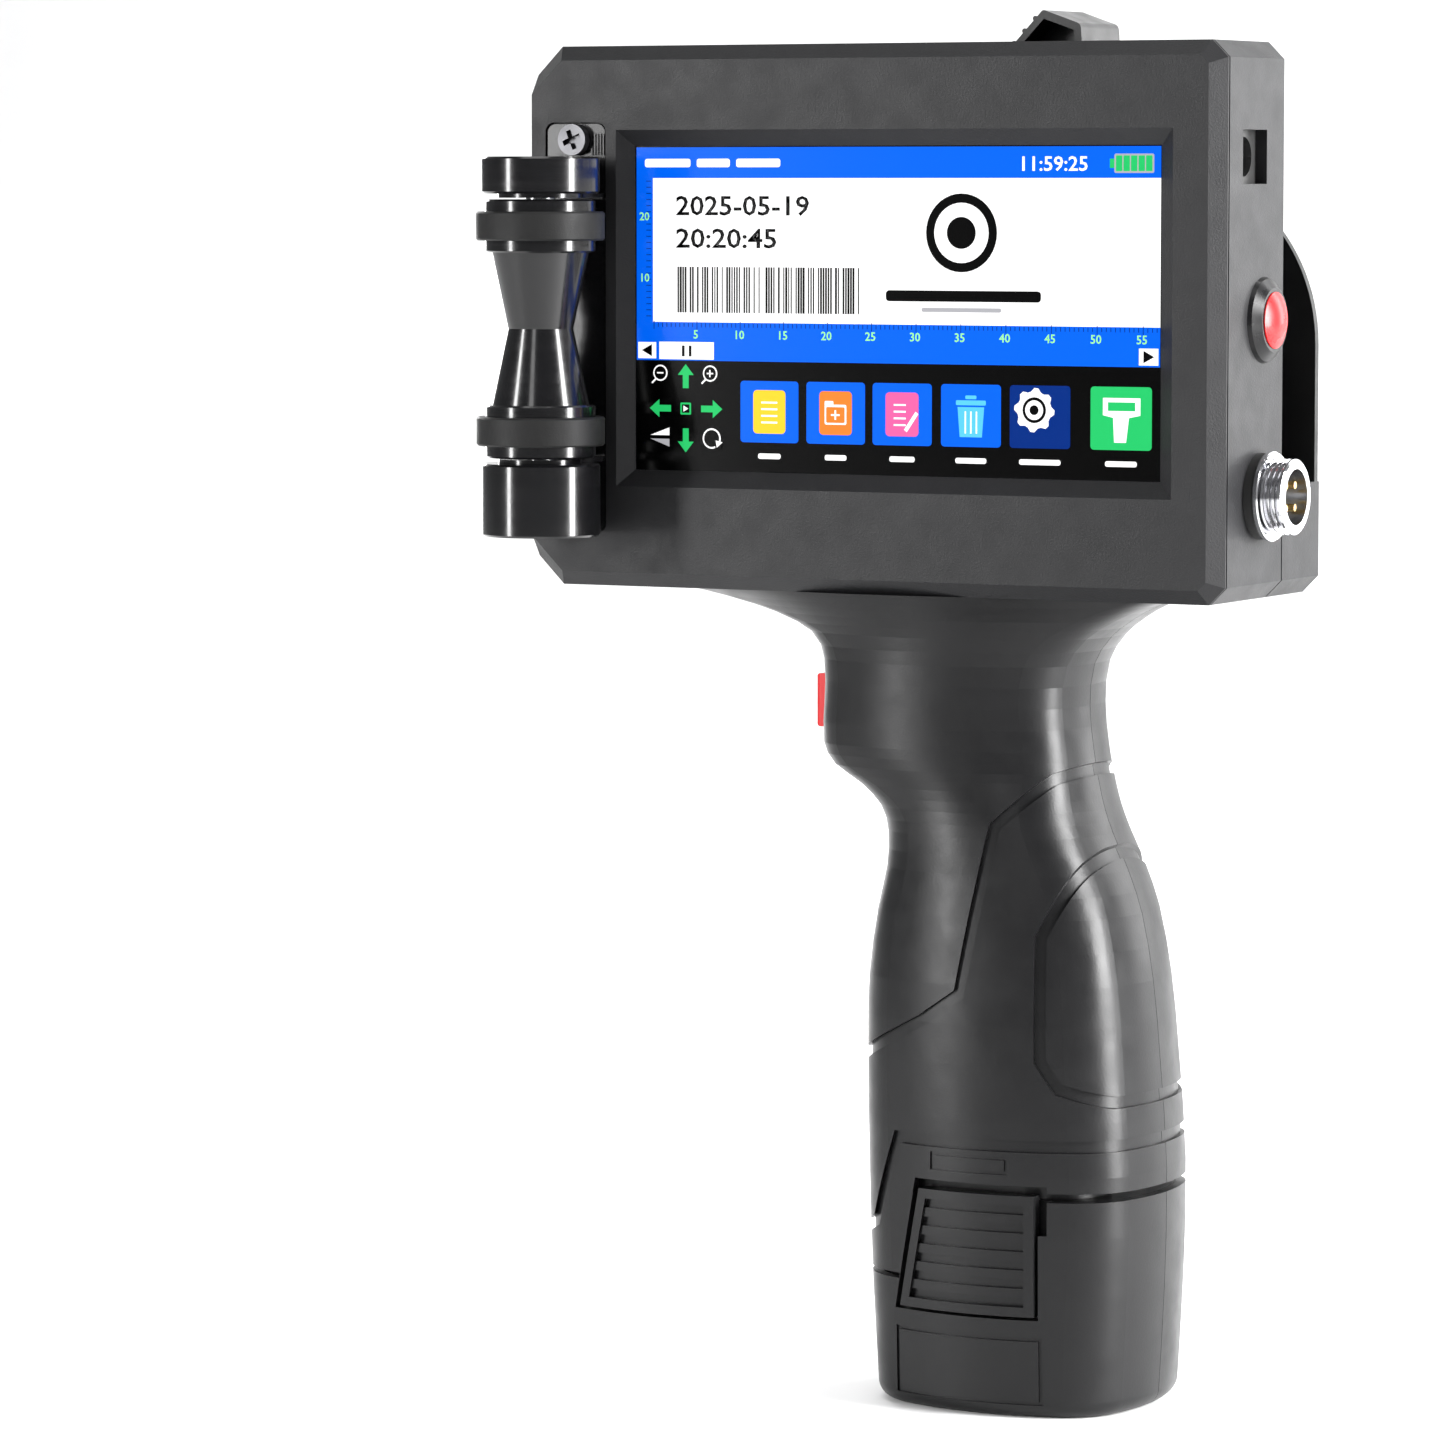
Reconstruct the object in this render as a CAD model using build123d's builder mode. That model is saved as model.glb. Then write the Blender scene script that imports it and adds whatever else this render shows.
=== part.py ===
"""Handheld date code inkjet printer: a touch-screen head on a pistol grip with a slide-in battery.

Millimetres, +Z up. The origin is the centre of the battery's flat base. X runs from the printing side
(-X) to the connector side (+X), and Y runs from the screen (-Y) to the cartridge bay (+Y).
"""
import os
from math import hypot

from build123d import *

os.makedirs("parts", exist_ok=True)

# ---------------------------------------------------------------- head
head_width = 126.0  # X
head_height = 90.3  # Z
front_depth = 25.2  # screen face to the back of the front housing
bay_depth = 15.9  # cartridge bay behind it
head_front = -20.5  # Y of the screen face
head_right = 42.7  # X of the connector side
head_bottom = 134.5  # Z of the underside
wall = 2.0
left_cut = 4.7  # 45 degree outer corners, printing side
right_cut = 2.8  # 45 degree outer corners, connector side
bevel = 2.7  # front edge bevel, and the bezel's depth
shadow_width = 0.4  # joint lines between the shells
shadow_depth = 0.3
boss_inset = 6.0  # corner screws from the outline
boss_radius = 3.2

# ---------------------------------------------------------------- screen
window_width = 96.0
window_height = 54.0
window_left = 18.8  # from the printing side
window_bottom = 19.6  # from the underside
window_rim = 2.7  # bevel round the window, across
window_drop = 2.0  # glass below the front face
glass_margin = 3.0  # glass past the window, each way
glass_thick = 1.6
lcd_width = 105.5
lcd_height = 67.2
lcd_thick = 3.0
board_width = 86.0
board_height = 64.0
board_thick = 1.6
board_gap = 8.0  # display back to main board
board_in = 9.0  # from the printing side

# ---------------------------------------------------------------- side fittings
jack_y = -7.2
jack_up = 71.7  # centre above the underside
jack_width = 9.8  # Y
jack_height = 8.7  # Z
jack_length = 12.0
jack_bore = 3.2  # radius
jack_pin_radius = 1.05
button_y = -3.0
button_up = 45.4
ring_slope = 1.8  # radial width of the ring's cone
ring_rim = 0.6  # ring beside the cap, radial
ring_height = 1.9
barrel_wall = 0.45
barrel_length = 9.0
cap_radius = 4.55
cap_side = 2.1  # straight side of the cap above the housing
cap_proud = 3.4
cap_flange = 0.45  # retaining lip, radial
button_travel = 1.2
spring_solid = 1.6  # room for the flattened spring
connector_y = -4.2
connector_up = 17.0
thread_radius = 6.15
thread_depth = 0.55
thread_pitch = 0.9
thread_height = 3.8
thread_ridges = 4
socket_radius = 4.55
gasket_height = 1.6
gasket_radius = 7.0
flange_height = 1.0
flange_radius = 7.3
shell_behind = 9.0
pin_radius = 0.6
pin_circle = 2.6  # radius of the ring of four pins
nut_thick = 2.5
hole_gap = 0.1  # radial clearance of panel holes

# ---------------------------------------------------------------- guide roller
roller_in = 8.4  # roller axis from the printing side
roller_out = 12.0  # roller axis in front of the screen face
axle_radius = 2.5
bush_wall = 1.65
bush_length = 5.0
tyre_radius = 10.7
tyre_height = 4.8
tyre_seat = 8.2  # radius of the tyre's groove
hub_radius = 9.2
rim_height = 2.0  # hub rim beside each tyre
cone_radius = 8.15
waist_radius = 5.45
end_radius = 9.9  # end caps
lower_cap_up = 8.95  # from the underside
lower_cap_height = 12.1
upper_cap_height = 6.1
roller_height = 42.8
arm_thick = 0.7
arm_gap = 0.25  # roller end to bracket arm
bracket_width = 10.9
bracket_thick = 0.9
channel_depth = 1.2  # recess for the bracket in the front face
channel_top = 77.6
channel_round = 1.6
bracket_screw_up = 74.7
serrations = 5

# ---------------------------------------------------------------- cartridge bay
sill_height = 18.4  # lower block behind the head
guard_up = 78.0  # top of the guard wall on the printing side
guard_thick = 2.5
cover_up = 71.0  # top of the back cover
cover_thick = 2.0
cover_round = 30.0
bay_gap = 0.35  # cartridge to bay
cartridge_height = 67.6
cartridge_width = 66.0
cartridge_right = 6.7  # X
foot_height = 26.0
shoulder_round = 20.0
handle_rise = 9.7
handle_back = 20.3  # Y
lid_thick = 1.6
rib_thick = 6.0
rib_height = 36.0
nozzle_width = 9.0
nozzle_height = 14.0
nozzle_up = 3.5  # above the sill

# ---------------------------------------------------------------- grip and battery
grip_wall = 1.6
seam_half = 0.06  # half the joint line down the spine
side_round = 1.8  # radius of a section's flat sides, as a share of the half width beside them
corner_round = 0.58  # radius of its corners, as a share of the half width, less on long sections
split_high = 37.5  # grip's lower edge, spine side
split_high_gap = 1.5
split_low = 22.3  # grip's lower edge, trigger side
split_low_gap = 0.9
groove_width = 2.0
groove_depth = 0.65
fine_groove = 0.6  # width
roof_thick = 4.5
neck_x = -12.0
neck_hole = 7.0
neck_y = -7.0
neck_screw_x = 14.0  # from the neck's centre
neck_screw_y = 5.5
trigger_width = 10.0  # Y
trigger_height = 9.0
trigger_up = 115.5
trigger_face = -37.6  # X
trigger_flange = 1.5
trigger_travel = 2.0
switch_width = 12.0
cell_radius = 9.0
cell_length = 65.0
cell_spacing = 0.3  # between cells
cell_gap = 0.2  # cells to tower
cell_lift = 0.2  # cells above the base
cell_board_thick = 1.5
pack_x = -1.5
pack_y = 0.15
tower_wall = 0.8
case_wall = 1.6
base_thick = 2.2
deck_thick = 2.0
base_round = 3.0
latch_travel = 0.8
latch_floor = 18.0  # |Y| of the latch pocket's floor
latch_recess = 1.0
latch_post = 2.9  # radius of the blind hole for the spring
latch_low = 17.0
latch_high = 37.0
latch_right = 10.8
latch_left_low = -13.9
latch_left_high = -9.9
latch_proud = 0.4
latch_rim = 1.6
latch_ribs = 5
fit = 0.3  # clearance between moulded pieces
running = 0.05  # radial clearance of turning and sliding fits
screw_radius = 1.4
screw_head = 2.6
head_thick = 1.7

# ---------------------------------------------------------------- derived sizes and places
ring_top_radius = cap_radius + running + ring_rim
ring_radius = ring_top_radius + ring_slope
barrel_radius = cap_radius + cap_flange + running + barrel_wall
bush_radius = axle_radius + running + bush_wall
cell_pitch = 2 * cell_radius + cell_spacing
cells_low = base_thick + cell_lift
tower_top = cells_low + cell_length + cell_board_thick + fit + tower_wall
head_left = head_right - head_width
head_top = head_bottom + head_height
seam_y = head_front + front_depth
bay_back = seam_y + bay_depth
bezel_back = head_front + bevel
window_x = head_left + window_left + window_width / 2
window_z = head_bottom + window_bottom + window_height / 2
glass_y = head_front + window_drop
lcd_y = glass_y + glass_thick
board_y = lcd_y + lcd_thick + board_gap
jack_z = head_bottom + jack_up
button_z = head_bottom + button_up
connector_z = head_bottom + connector_up
roller_x = head_left + roller_in
roller_y = head_front - roller_out
channel_low = head_bottom + lower_cap_up
channel_high = head_bottom + channel_top
channel_width = bracket_width + 2 * fit
cover_front = bay_back - cover_thick
cover_top = head_bottom + cover_up
sill_top = head_bottom + sill_height
guard_top = head_bottom + guard_up
rib_left = cartridge_right + bay_gap
tower_radius = cell_radius + cell_gap + tower_wall
latch_back = latch_floor + latch_travel + 0.2  # |Y| of the latch's inner face
boss_spots = [(x, z) for x in (head_left + boss_inset, window_x, head_right - boss_inset)
              for z in (head_bottom + boss_inset, head_top - boss_inset)]
neck_spots = [(neck_x + i * neck_screw_x, neck_y + j * neck_screw_y) for i in (-1, 1) for j in (-1, 1)]
cover_spots = [(rib_left + rib_thick / 2, sill_top + rib_height * share) for share in (0.2, 0.8)]
contact_x = (head_left + 6.0, head_left + 18.0)
contact_z = (sill_top + 4.0, sill_top + 16.0)
grip_posts = [(2.0, 122.0), (-7.0, 99.0), (0.0, 87.0)]
post_seat = 11.0  # Y of the screw heads
cell_spots = [(pack_x - cell_pitch / 2, pack_y - cell_pitch * 3**0.5 / 4),
              (pack_x + cell_pitch / 2, pack_y - cell_pitch * 3**0.5 / 4),
              (pack_x, pack_y + cell_pitch * 3**0.5 / 4)]


# ================================================================ helpers
def facing_front(y):
    """Plane at a depth y with its normal towards the screen side."""
    return Plane(origin=(0, y, 0), x_dir=(1, 0, 0), z_dir=(0, -1, 0))


def facing_right(x, y, z):
    """Plane with its normal along +X, local x along Y and local y along Z."""
    return Plane(origin=(x, y, z), x_dir=(0, 1, 0), z_dir=(1, 0, 0))


def facing_up(x, y, z):
    """Horizontal plane through a point."""
    return Plane(origin=(x, y, z))


def head_points(inset=0.0):
    """Corner points of the head's octagonal outline, seen from the front."""
    left, right = head_left + inset, head_right - inset
    low, high = head_bottom + inset, head_top - inset
    shrink = inset * (2 - 2**0.5)
    cut_l, cut_r = left_cut - shrink, right_cut - shrink
    return [(left + cut_l, low), (right - cut_r, low), (right, low + cut_r), (right, high - cut_r),
            (right - cut_r, high), (left + cut_l, high), (left, high - cut_l), (left, low + cut_l)]


def prism(points, y_front, y_back, mode=Mode.ADD):
    """Plate between two depths with a polygon outline of (x, z) points."""
    with BuildSketch(facing_front(y_back)) as outline:
        with BuildLine():
            Polyline(*points, close=True)
        make_face()
    extrude(outline.sketch, amount=y_back - y_front, mode=mode)


def slab(y_front, y_back, inset=0.0, mode=Mode.ADD):
    """Head-shaped plate between two depths."""
    prism(head_points(inset), y_front, y_back, mode)


def block(x, y, z, mode=Mode.ADD):
    """Axis-aligned block from three (low, high) pairs."""
    with BuildSketch(Plane.XY.offset(z[0])) as base:
        with Locations(((x[0] + x[1]) / 2, (y[0] + y[1]) / 2)):
            Rectangle(x[1] - x[0], y[1] - y[0])
    extrude(base.sketch, amount=z[1] - z[0], mode=mode)


def rod(plane, radius, length, mode=Mode.ADD):
    """Round bar from a plane along its normal."""
    with BuildSketch(plane) as disc:
        Circle(radius)
    extrude(disc.sketch, amount=length, mode=mode)


def holes(spots, plane, radius, depth, mode=Mode.SUBTRACT):
    """Round holes or bosses at several spots of a plane, along its normal."""
    with BuildSketch(plane) as discs:
        with Locations(*spots):
            Circle(radius)
    extrude(discs.sketch, amount=depth, mode=mode)


def turned(points, plane, axis):
    """Solid turned from a polygon of (along, across) points about an axis in the plane."""
    with BuildSketch(plane) as profile:
        with BuildLine():
            Polyline(*points, close=True)
        make_face()
    revolve(profile.sketch, axis=axis)


def screw(seat, head_radius, shank_radius, length):
    """Cross-head screw: the seat plane's normal points out of the head."""
    rod(seat, head_radius, head_thick)
    rod(seat, shank_radius, -length)
    with BuildSketch(seat.offset(head_thick)) as cross:
        Rectangle(head_radius * 1.3, head_radius * 0.34)
        Rectangle(head_radius * 0.34, head_radius * 1.3)
    extrude(cross.sketch, amount=-head_thick * 0.7, mode=Mode.SUBTRACT)


def coil(plane, radius, wire, length, turns):
    """Compression spring along a plane's normal."""
    rise = length - 2 * wire
    helix = Helix(pitch=rise / turns, height=rise, radius=radius, mode=Mode.PRIVATE)
    path = plane.offset(wire).location * helix
    with BuildSketch(Plane(origin=path @ 0, z_dir=path % 0)) as section:
        Circle(wire)
    sweep(section.sketch, path=path, is_frenet=True)


# ================================================================ grip form
# Sections of the outer form of battery and grip: height, trigger-side X, spine-side X, half width.
grip_sections = [
    (0.0, -23.6, 23.7, 21.6),  # base
    (20.0, -24.8, 24.8, 22.2),
    (40.0, -25.5, 25.1, 22.3),  # just above the battery
    (58.0, -25.9, 23.8, 21.9),  # palm swell
    (71.0, -25.8, 22.5, 21.2),
    (82.0, -24.4, 20.4, 20.2),
    (89.0, -22.9, 17.9, 19.3),
    (95.0, -22.8, 15.1, 18.6),  # waist under the trigger
    (99.0, -24.2, 13.6, 18.2),
    (102.5, -28.0, 12.7, 18.0),
    (105.5, -33.0, 12.1, 18.0),  # shelf under the trigger
    (109.0, -35.1, 11.5, 18.0),
    (116.0, -35.0, 10.8, 18.0),
    (123.0, -35.1, 11.6, 18.1),
    (127.5, -37.6, 14.6, 18.4),
    (130.5, -44.8, 18.6, 18.8),  # flare into the head
    (132.8, -55.0, 23.0, 19.2),
    (head_bottom, -66.0, 28.0, 19.6),
]
core_top = 120.0
battery_reach = 40.0


def oval(height, low_x, high_x, half_y):
    """Closed oval section on a horizontal plane: four flat arcs joined by four rounder corner arcs."""
    centre, half_x = (low_x + high_x) / 2, (high_x - low_x) / 2
    side, cap = side_round * half_y, side_round * half_x
    corner = corner_round * half_y * min(1.0, half_y / half_x) ** 0.5
    side_x, cap_y = half_x - side, half_y - cap  # arc centres, on the section's axes
    near, far_off = side - corner, cap - corner
    span = hypot(side_x, cap_y)
    along = (near**2 - far_off**2 + span**2) / (2 * span)
    across = (near**2 - along**2) ** 0.5
    unit_x, unit_y = -side_x / span, cap_y / span
    corner_x = side_x + along * unit_x - across * unit_y
    corner_y = along * unit_y + across * unit_x
    on_side = (side_x + side * (corner_x - side_x) / near, side * corner_y / near)
    on_cap = (cap * corner_x / far_off, cap_y + cap * (corner_y - cap_y) / far_off)
    tip = hypot(on_side[0] + on_cap[0] - 2 * corner_x, on_side[1] + on_cap[1] - 2 * corner_y)
    on_corner = (corner_x + corner * (on_side[0] + on_cap[0] - 2 * corner_x) / tip,
                 corner_y + corner * (on_side[1] + on_cap[1] - 2 * corner_y) / tip)
    quarter = [on_side, on_corner, on_cap]
    turns = [(1, 1, quarter), (-1, 1, quarter[::-1]), (-1, -1, quarter), (1, -1, quarter[::-1])]
    arcs = [[(centre + i * x, j * y) for x, y in row] for i, j, row in turns]
    middles = [(centre, half_y), (centre - half_x, 0), (centre, -half_y), (centre + half_x, 0)]
    with BuildSketch(Plane.XY.offset(height)) as section:
        with BuildLine():
            for order, arc in enumerate(arcs):
                ThreePointArc(*arc)
                ThreePointArc(arc[-1], middles[order], arcs[(order + 1) % 4][0])
        make_face()
    return section.sketch


def with_in_betweens(rows):
    """Rows of the table with one more between each two, on the smooth curve through them."""
    refined = []
    for index in range(len(rows) - 1):
        below, low, high, above = (rows[max(index - 1, 0)], rows[index], rows[index + 1],
                                   rows[min(index + 2, len(rows) - 1)])
        middle = [(low[0] + high[0]) / 2]
        for column in (1, 2, 3):
            slope_low = (high[column] - below[column]) / (high[0] - below[0])
            slope_high = (above[column] - low[column]) / (above[0] - low[0])
            bulge = (high[0] - low[0]) * (slope_low - slope_high) / 8
            middle.append((low[column] + high[column]) / 2 + bulge)
        refined += [low, tuple(middle)]
    return refined + [rows[-1]]


grip_rows = with_in_betweens(grip_sections)


def grip_form(inset, high=head_bottom, straight_to=None):
    """Lofted form of battery and grip from the base up to a height, pulled in by an inset."""
    chosen = [row for row in grip_rows if row[0] <= high]
    sections = [oval(z, a + inset, b - inset, half - inset) for z, a, b, half in chosen]
    with BuildPart() as form:
        loft(sections, ruled=True)
        if straight_to is not None:
            extrude(sections[-1], amount=straight_to - chosen[-1][0])
    return form.part


outer_form = grip_form(0.0)
core_form = grip_form(grip_wall, high=core_top, straight_to=head_bottom - roof_thick)
groove_form = grip_form(groove_depth)

# ================================================================ head shells
with BuildPart() as front_bezel:
    slab(head_front, bezel_back)
    front_edges = front_bezel.faces().sort_by(Axis.Y)[0].edges()
    chamfer(front_edges.sort_by(Axis.X)[1:], length=bevel - shadow_depth)
    block((window_x - window_width / 2, window_x + window_width / 2), (head_front - 1, bezel_back + 1),
          (window_z - window_height / 2, window_z + window_height / 2), mode=Mode.SUBTRACT)
    rim_sections = []
    for depth, spread in ((window_drop - 0.2, 0.0), (0.0, window_rim)):
        with BuildSketch(facing_front(head_front + depth)) as rim_section:
            with Locations((window_x, window_z)):
                Rectangle(window_width + 2 * spread, window_height + 2 * spread)
        rim_sections.append(rim_section.sketch)
    loft(rim_sections, mode=Mode.SUBTRACT)
    seat_x = window_width / 2 + glass_margin + fit / 2
    seat_z = window_height / 2 + glass_margin + fit / 2
    block((window_x - seat_x, window_x + seat_x), (glass_y, bezel_back + 1),
          (window_z - seat_z, window_z + seat_z), mode=Mode.SUBTRACT)
    with BuildSketch(facing_front(head_front + channel_depth)) as channel:
        with Locations((roller_x, (channel_low + channel_high) / 2)):
            RectangleRounded(channel_width, channel_high - channel_low, channel_round)
    extrude(channel.sketch, amount=channel_depth + 1, mode=Mode.SUBTRACT)
    holes(boss_spots, facing_front(bezel_back), screw_radius + hole_gap, bevel / 2)
    rod(facing_front(bezel_back).shift_origin((roller_x, bezel_back, head_bottom + bracket_screw_up)),
        screw_radius + hole_gap, bevel, mode=Mode.SUBTRACT)
front_bezel.part.label = "front_bezel"
export_step(front_bezel.part, "parts/front_bezel.step")

with BuildPart() as front_housing:
    slab(bezel_back, bezel_back + shadow_width, inset=shadow_depth)
    slab(bezel_back + shadow_width, seam_y)
    slab(bezel_back - 1, seam_y - wall, inset=wall, mode=Mode.SUBTRACT)
    holes(boss_spots, facing_front(seam_y), boss_radius, front_depth - bevel, mode=Mode.ADD)
    holes(boss_spots, facing_front(seam_y), screw_radius + hole_gap, front_depth)
    holes(boss_spots, facing_front(seam_y), screw_head + hole_gap, head_thick + hole_gap)
    block((head_right - wall - 1, head_right + 1), (jack_y - jack_width / 2, jack_y + jack_width / 2),
          (jack_z - jack_height / 2, jack_z + jack_height / 2), mode=Mode.SUBTRACT)
    for spot_y, spot_z, radius in ((button_y, button_z, barrel_radius),
                                   (connector_y, connector_z, thread_radius)):
        rod(facing_right(head_right - wall - 1, spot_y, spot_z), radius + hole_gap, wall + 2,
            mode=Mode.SUBTRACT)
        block((head_right - wall - nut_thick - fit, head_right - wall), (spot_y, seam_y - wall * 0.6),
              (spot_z - radius * 1.5, spot_z + radius * 1.5), mode=Mode.SUBTRACT)
    rod(facing_up(neck_x, neck_y, head_bottom), neck_hole, wall, mode=Mode.SUBTRACT)
    holes(neck_spots, facing_up(0, 0, head_bottom), screw_radius + hole_gap, wall)
    block((contact_x[0] - fit, contact_x[1] + fit), (seam_y - wall, seam_y),
          (contact_z[0] - fit, contact_z[1] + fit), mode=Mode.SUBTRACT)
front_housing.part.label = "front_housing"
export_step(front_housing.part, "parts/front_housing.step")

# The rear housing is a hollow sill under the cartridge, with a guard wall on the printing side whose
# window lets the print head look out, and a rib that keeps the cartridge from moving sideways.
with BuildPart() as rear_housing:
    slab(seam_y, seam_y + shadow_width, inset=shadow_depth)
    slab(seam_y + shadow_width, bay_back)
    block((head_left + guard_thick, head_right + 1), (seam_y - 1, bay_back + 1), (sill_top, head_top + 1),
          mode=Mode.SUBTRACT)
    block((head_left - 1, head_right), (seam_y - 1, bay_back + 1), (guard_top, head_top + 1),
          mode=Mode.SUBTRACT)
    block((head_left - 1, head_right + 1), (cover_front, bay_back + 1), (sill_top, head_top + 1),
          mode=Mode.SUBTRACT)
    block((head_left + wall * 3, head_right - wall * 3), (seam_y - 1, bay_back - wall),
          (head_bottom + wall, sill_top - wall), mode=Mode.SUBTRACT)
    block((head_left - 1, head_left + wall * 2), (seam_y + wall, cover_front - wall / 2),
          (sill_top + nozzle_up - wall / 2, sill_top + nozzle_up + nozzle_height + wall / 2),
          mode=Mode.SUBTRACT)
    block((rib_left, rib_left + rib_thick), (seam_y, cover_front), (sill_top - wall / 2,
                                                                   sill_top + rib_height))
    holes(cover_spots, facing_front(cover_front), screw_radius + hole_gap, 9.0)
rear_housing.part.label = "rear_housing"
export_step(rear_housing.part, "parts/rear_housing.step")

# The back cover's free corner is fully rounded, and the bay stays open beside the cartridge.
with BuildPart() as bay_back_cover:
    prism([(head_left, sill_top), (head_right, sill_top), (head_right, cover_top), (head_left, cover_top)],
          cover_front, bay_back)
    upright = bay_back_cover.edges().filter_by(Axis.Y).group_by(Axis.Z)[-1].sort_by(Axis.X)
    fillet(upright[-1], radius=cover_round)
    top_left = bay_back_cover.edges().filter_by(Axis.Y).group_by(Axis.X)[0].sort_by(Axis.Z)[-1]
    fillet(top_left, radius=8.0)
    back_edges = bay_back_cover.faces().sort_by(Axis.Y)[-1].edges()
    chamfer(back_edges, length=0.6)
    holes(cover_spots, facing_front(bay_back), screw_radius + hole_gap, cover_thick)
bay_back_cover.part.label = "bay_back_cover"
export_step(bay_back_cover.part, "parts/bay_back_cover.step")

with BuildPart() as housing_screws:
    for spot_x, spot_z in boss_spots:
        seat = Plane(origin=(spot_x, seam_y - head_thick - hole_gap, spot_z), x_dir=(-1, 0, 0),
                     z_dir=(0, 1, 0))
        screw(seat, screw_head, screw_radius, front_depth - bevel - head_thick + 1.0)
housing_screws.part.label = "housing_screws"
export_step(housing_screws.part, "parts/housing_screws.step")

with BuildPart() as cover_screws:
    for spot_x, spot_z in cover_spots:
        seat = Plane(origin=(spot_x, bay_back, spot_z), x_dir=(-1, 0, 0), z_dir=(0, 1, 0))
        screw(seat, screw_head, screw_radius, cover_thick + 7.0)
cover_screws.part.label = "cover_screws"
export_step(cover_screws.part, "parts/cover_screws.step")

# ================================================================ screen and electronics
with BuildPart() as touch_glass:
    block((window_x - window_width / 2 - glass_margin, window_x + window_width / 2 + glass_margin),
          (glass_y, glass_y + glass_thick),
          (window_z - window_height / 2 - glass_margin, window_z + window_height / 2 + glass_margin))
touch_glass.part.label = "touch_glass"
export_step(touch_glass.part, "parts/touch_glass.step")

with BuildPart() as lcd_module:
    block((window_x - lcd_width / 2, window_x + lcd_width / 2), (lcd_y, lcd_y + lcd_thick),
          (window_z - lcd_height / 2, window_z + lcd_height / 2))
    chamfer(lcd_module.edges().filter_by(Axis.Y), length=1.0)
lcd_module.part.label = "lcd_module"
export_step(lcd_module.part, "parts/lcd_module.step")

board_left = head_left + board_in
board_low = window_z - board_height / 2
with BuildPart() as main_board:
    block((board_left, board_left + board_width), (board_y, board_y + board_thick),
          (board_low, board_low + board_height))
    standoffs = [(board_left + i * board_width, board_low + j * board_height) for i in (0.06, 0.94)
                 for j in (0.08, 0.92)]
    holes(standoffs, facing_front(board_y + board_thick), screw_radius, board_thick)
main_board.part.label = "main_board"
export_step(main_board.part, "parts/main_board.step")

chip_places = [(0.3, 0.5, 16.0), (0.55, 0.65, 11.0), (0.55, 0.35, 9.0), (0.8, 0.5, 12.0)]
chip_thick = 1.4
with BuildPart() as board_chips:
    for share_x, share_z, size in chip_places:
        chip_x = board_left + share_x * board_width
        chip_z = board_low + share_z * board_height
        block((chip_x - size / 2, chip_x + size / 2), (board_y - chip_thick, board_y),
              (chip_z - size / 2, chip_z + size / 2))
board_chips.part.label = "board_chips"
export_step(board_chips.part, "parts/board_chips.step")

# ================================================================ side fittings
jack_face = head_right - wall
with BuildPart() as dc_jack:
    block((jack_face - jack_length, jack_face), (jack_y - jack_width / 2, jack_y + jack_width / 2),
          (jack_z - jack_height / 2, jack_z + jack_height / 2))
    rod(facing_right(jack_face - jack_length + wall, jack_y, jack_z), jack_bore, jack_length,
        mode=Mode.SUBTRACT)
dc_jack.part.label = "dc_jack"
export_step(dc_jack.part, "parts/dc_jack.step")

with BuildPart() as dc_jack_pin:
    rod(facing_right(jack_face - jack_length + wall, jack_y, jack_z), jack_pin_radius,
        jack_length - wall - 1)
    fillet(dc_jack_pin.edges().sort_by(Axis.X)[-1], radius=jack_pin_radius * 0.6)
dc_jack_pin.part.label = "dc_jack_pin"
export_step(dc_jack_pin.part, "parts/dc_jack_pin.step")

button_plane = Plane(origin=(head_right, button_y, button_z), x_dir=(1, 0, 0), z_dir=(0, -1, 0))
button_axis = Axis((head_right, button_y, button_z), (1, 0, 0))
chamber_radius = cap_radius + cap_flange + running
floor_x = -barrel_length + 0.5
with BuildPart() as button_ring:
    turned([(0, barrel_radius), (0, ring_radius), (0.7, ring_radius - 0.3), (ring_height, ring_top_radius),
            (ring_height, cap_radius + running), (-barrel_length / 2, cap_radius + running),
            (-barrel_length / 2, chamber_radius), (floor_x, chamber_radius), (floor_x, 0),
            (-barrel_length, 0), (-barrel_length, barrel_radius)],
           button_plane, button_axis)
button_ring.part.label = "button_ring"
export_step(button_ring.part, "parts/button_ring.step")

lip_back = floor_x + button_travel + spring_solid
lip_front = -barrel_length / 2 - hole_gap
with BuildPart() as side_button_cap:
    dome = cap_proud - cap_side
    ball = (cap_radius**2 + dome**2) / (2 * dome)
    half = cap_radius / 2
    with BuildSketch(button_plane) as cap_profile:
        with BuildLine():
            Polyline((cap_proud, 0), (lip_back, 0), (lip_back, cap_radius + cap_flange),
                     (lip_front, cap_radius + cap_flange), (lip_front, cap_radius),
                     (cap_side, cap_radius))
            ThreePointArc((cap_side, cap_radius), (cap_proud - ball + (ball**2 - half**2) ** 0.5, half),
                          (cap_proud, 0))
        make_face()
    revolve(cap_profile.sketch, axis=button_axis)
side_button_cap.part.label = "side_button_cap"
export_step(side_button_cap.part, "parts/side_button_cap.step")

with BuildPart() as side_button_spring:
    coil(facing_right(head_right + floor_x, button_y, button_z), 3.0, 0.3, lip_back - floor_x, 3)
side_button_spring.part.label = "side_button_spring"
export_step(side_button_spring.part, "parts/side_button_spring.step")

for nut_name, nut_y, nut_z, nut_bore in (("button_nut", button_y, button_z, barrel_radius),
                                         ("connector_nut", connector_y, connector_z, thread_radius)):
    with BuildPart() as nut:
        with BuildSketch(facing_right(jack_face - nut_thick, nut_y, nut_z)) as nut_outline:
            RegularPolygon(nut_bore + 0.7, 6, major_radius=False, rotation=30)
            Circle(nut_bore + 0.02, mode=Mode.SUBTRACT)
        extrude(nut_outline.sketch, amount=nut_thick)
    nut.part.label = nut_name
    export_step(nut.part, f"parts/{nut_name}.step")

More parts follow.
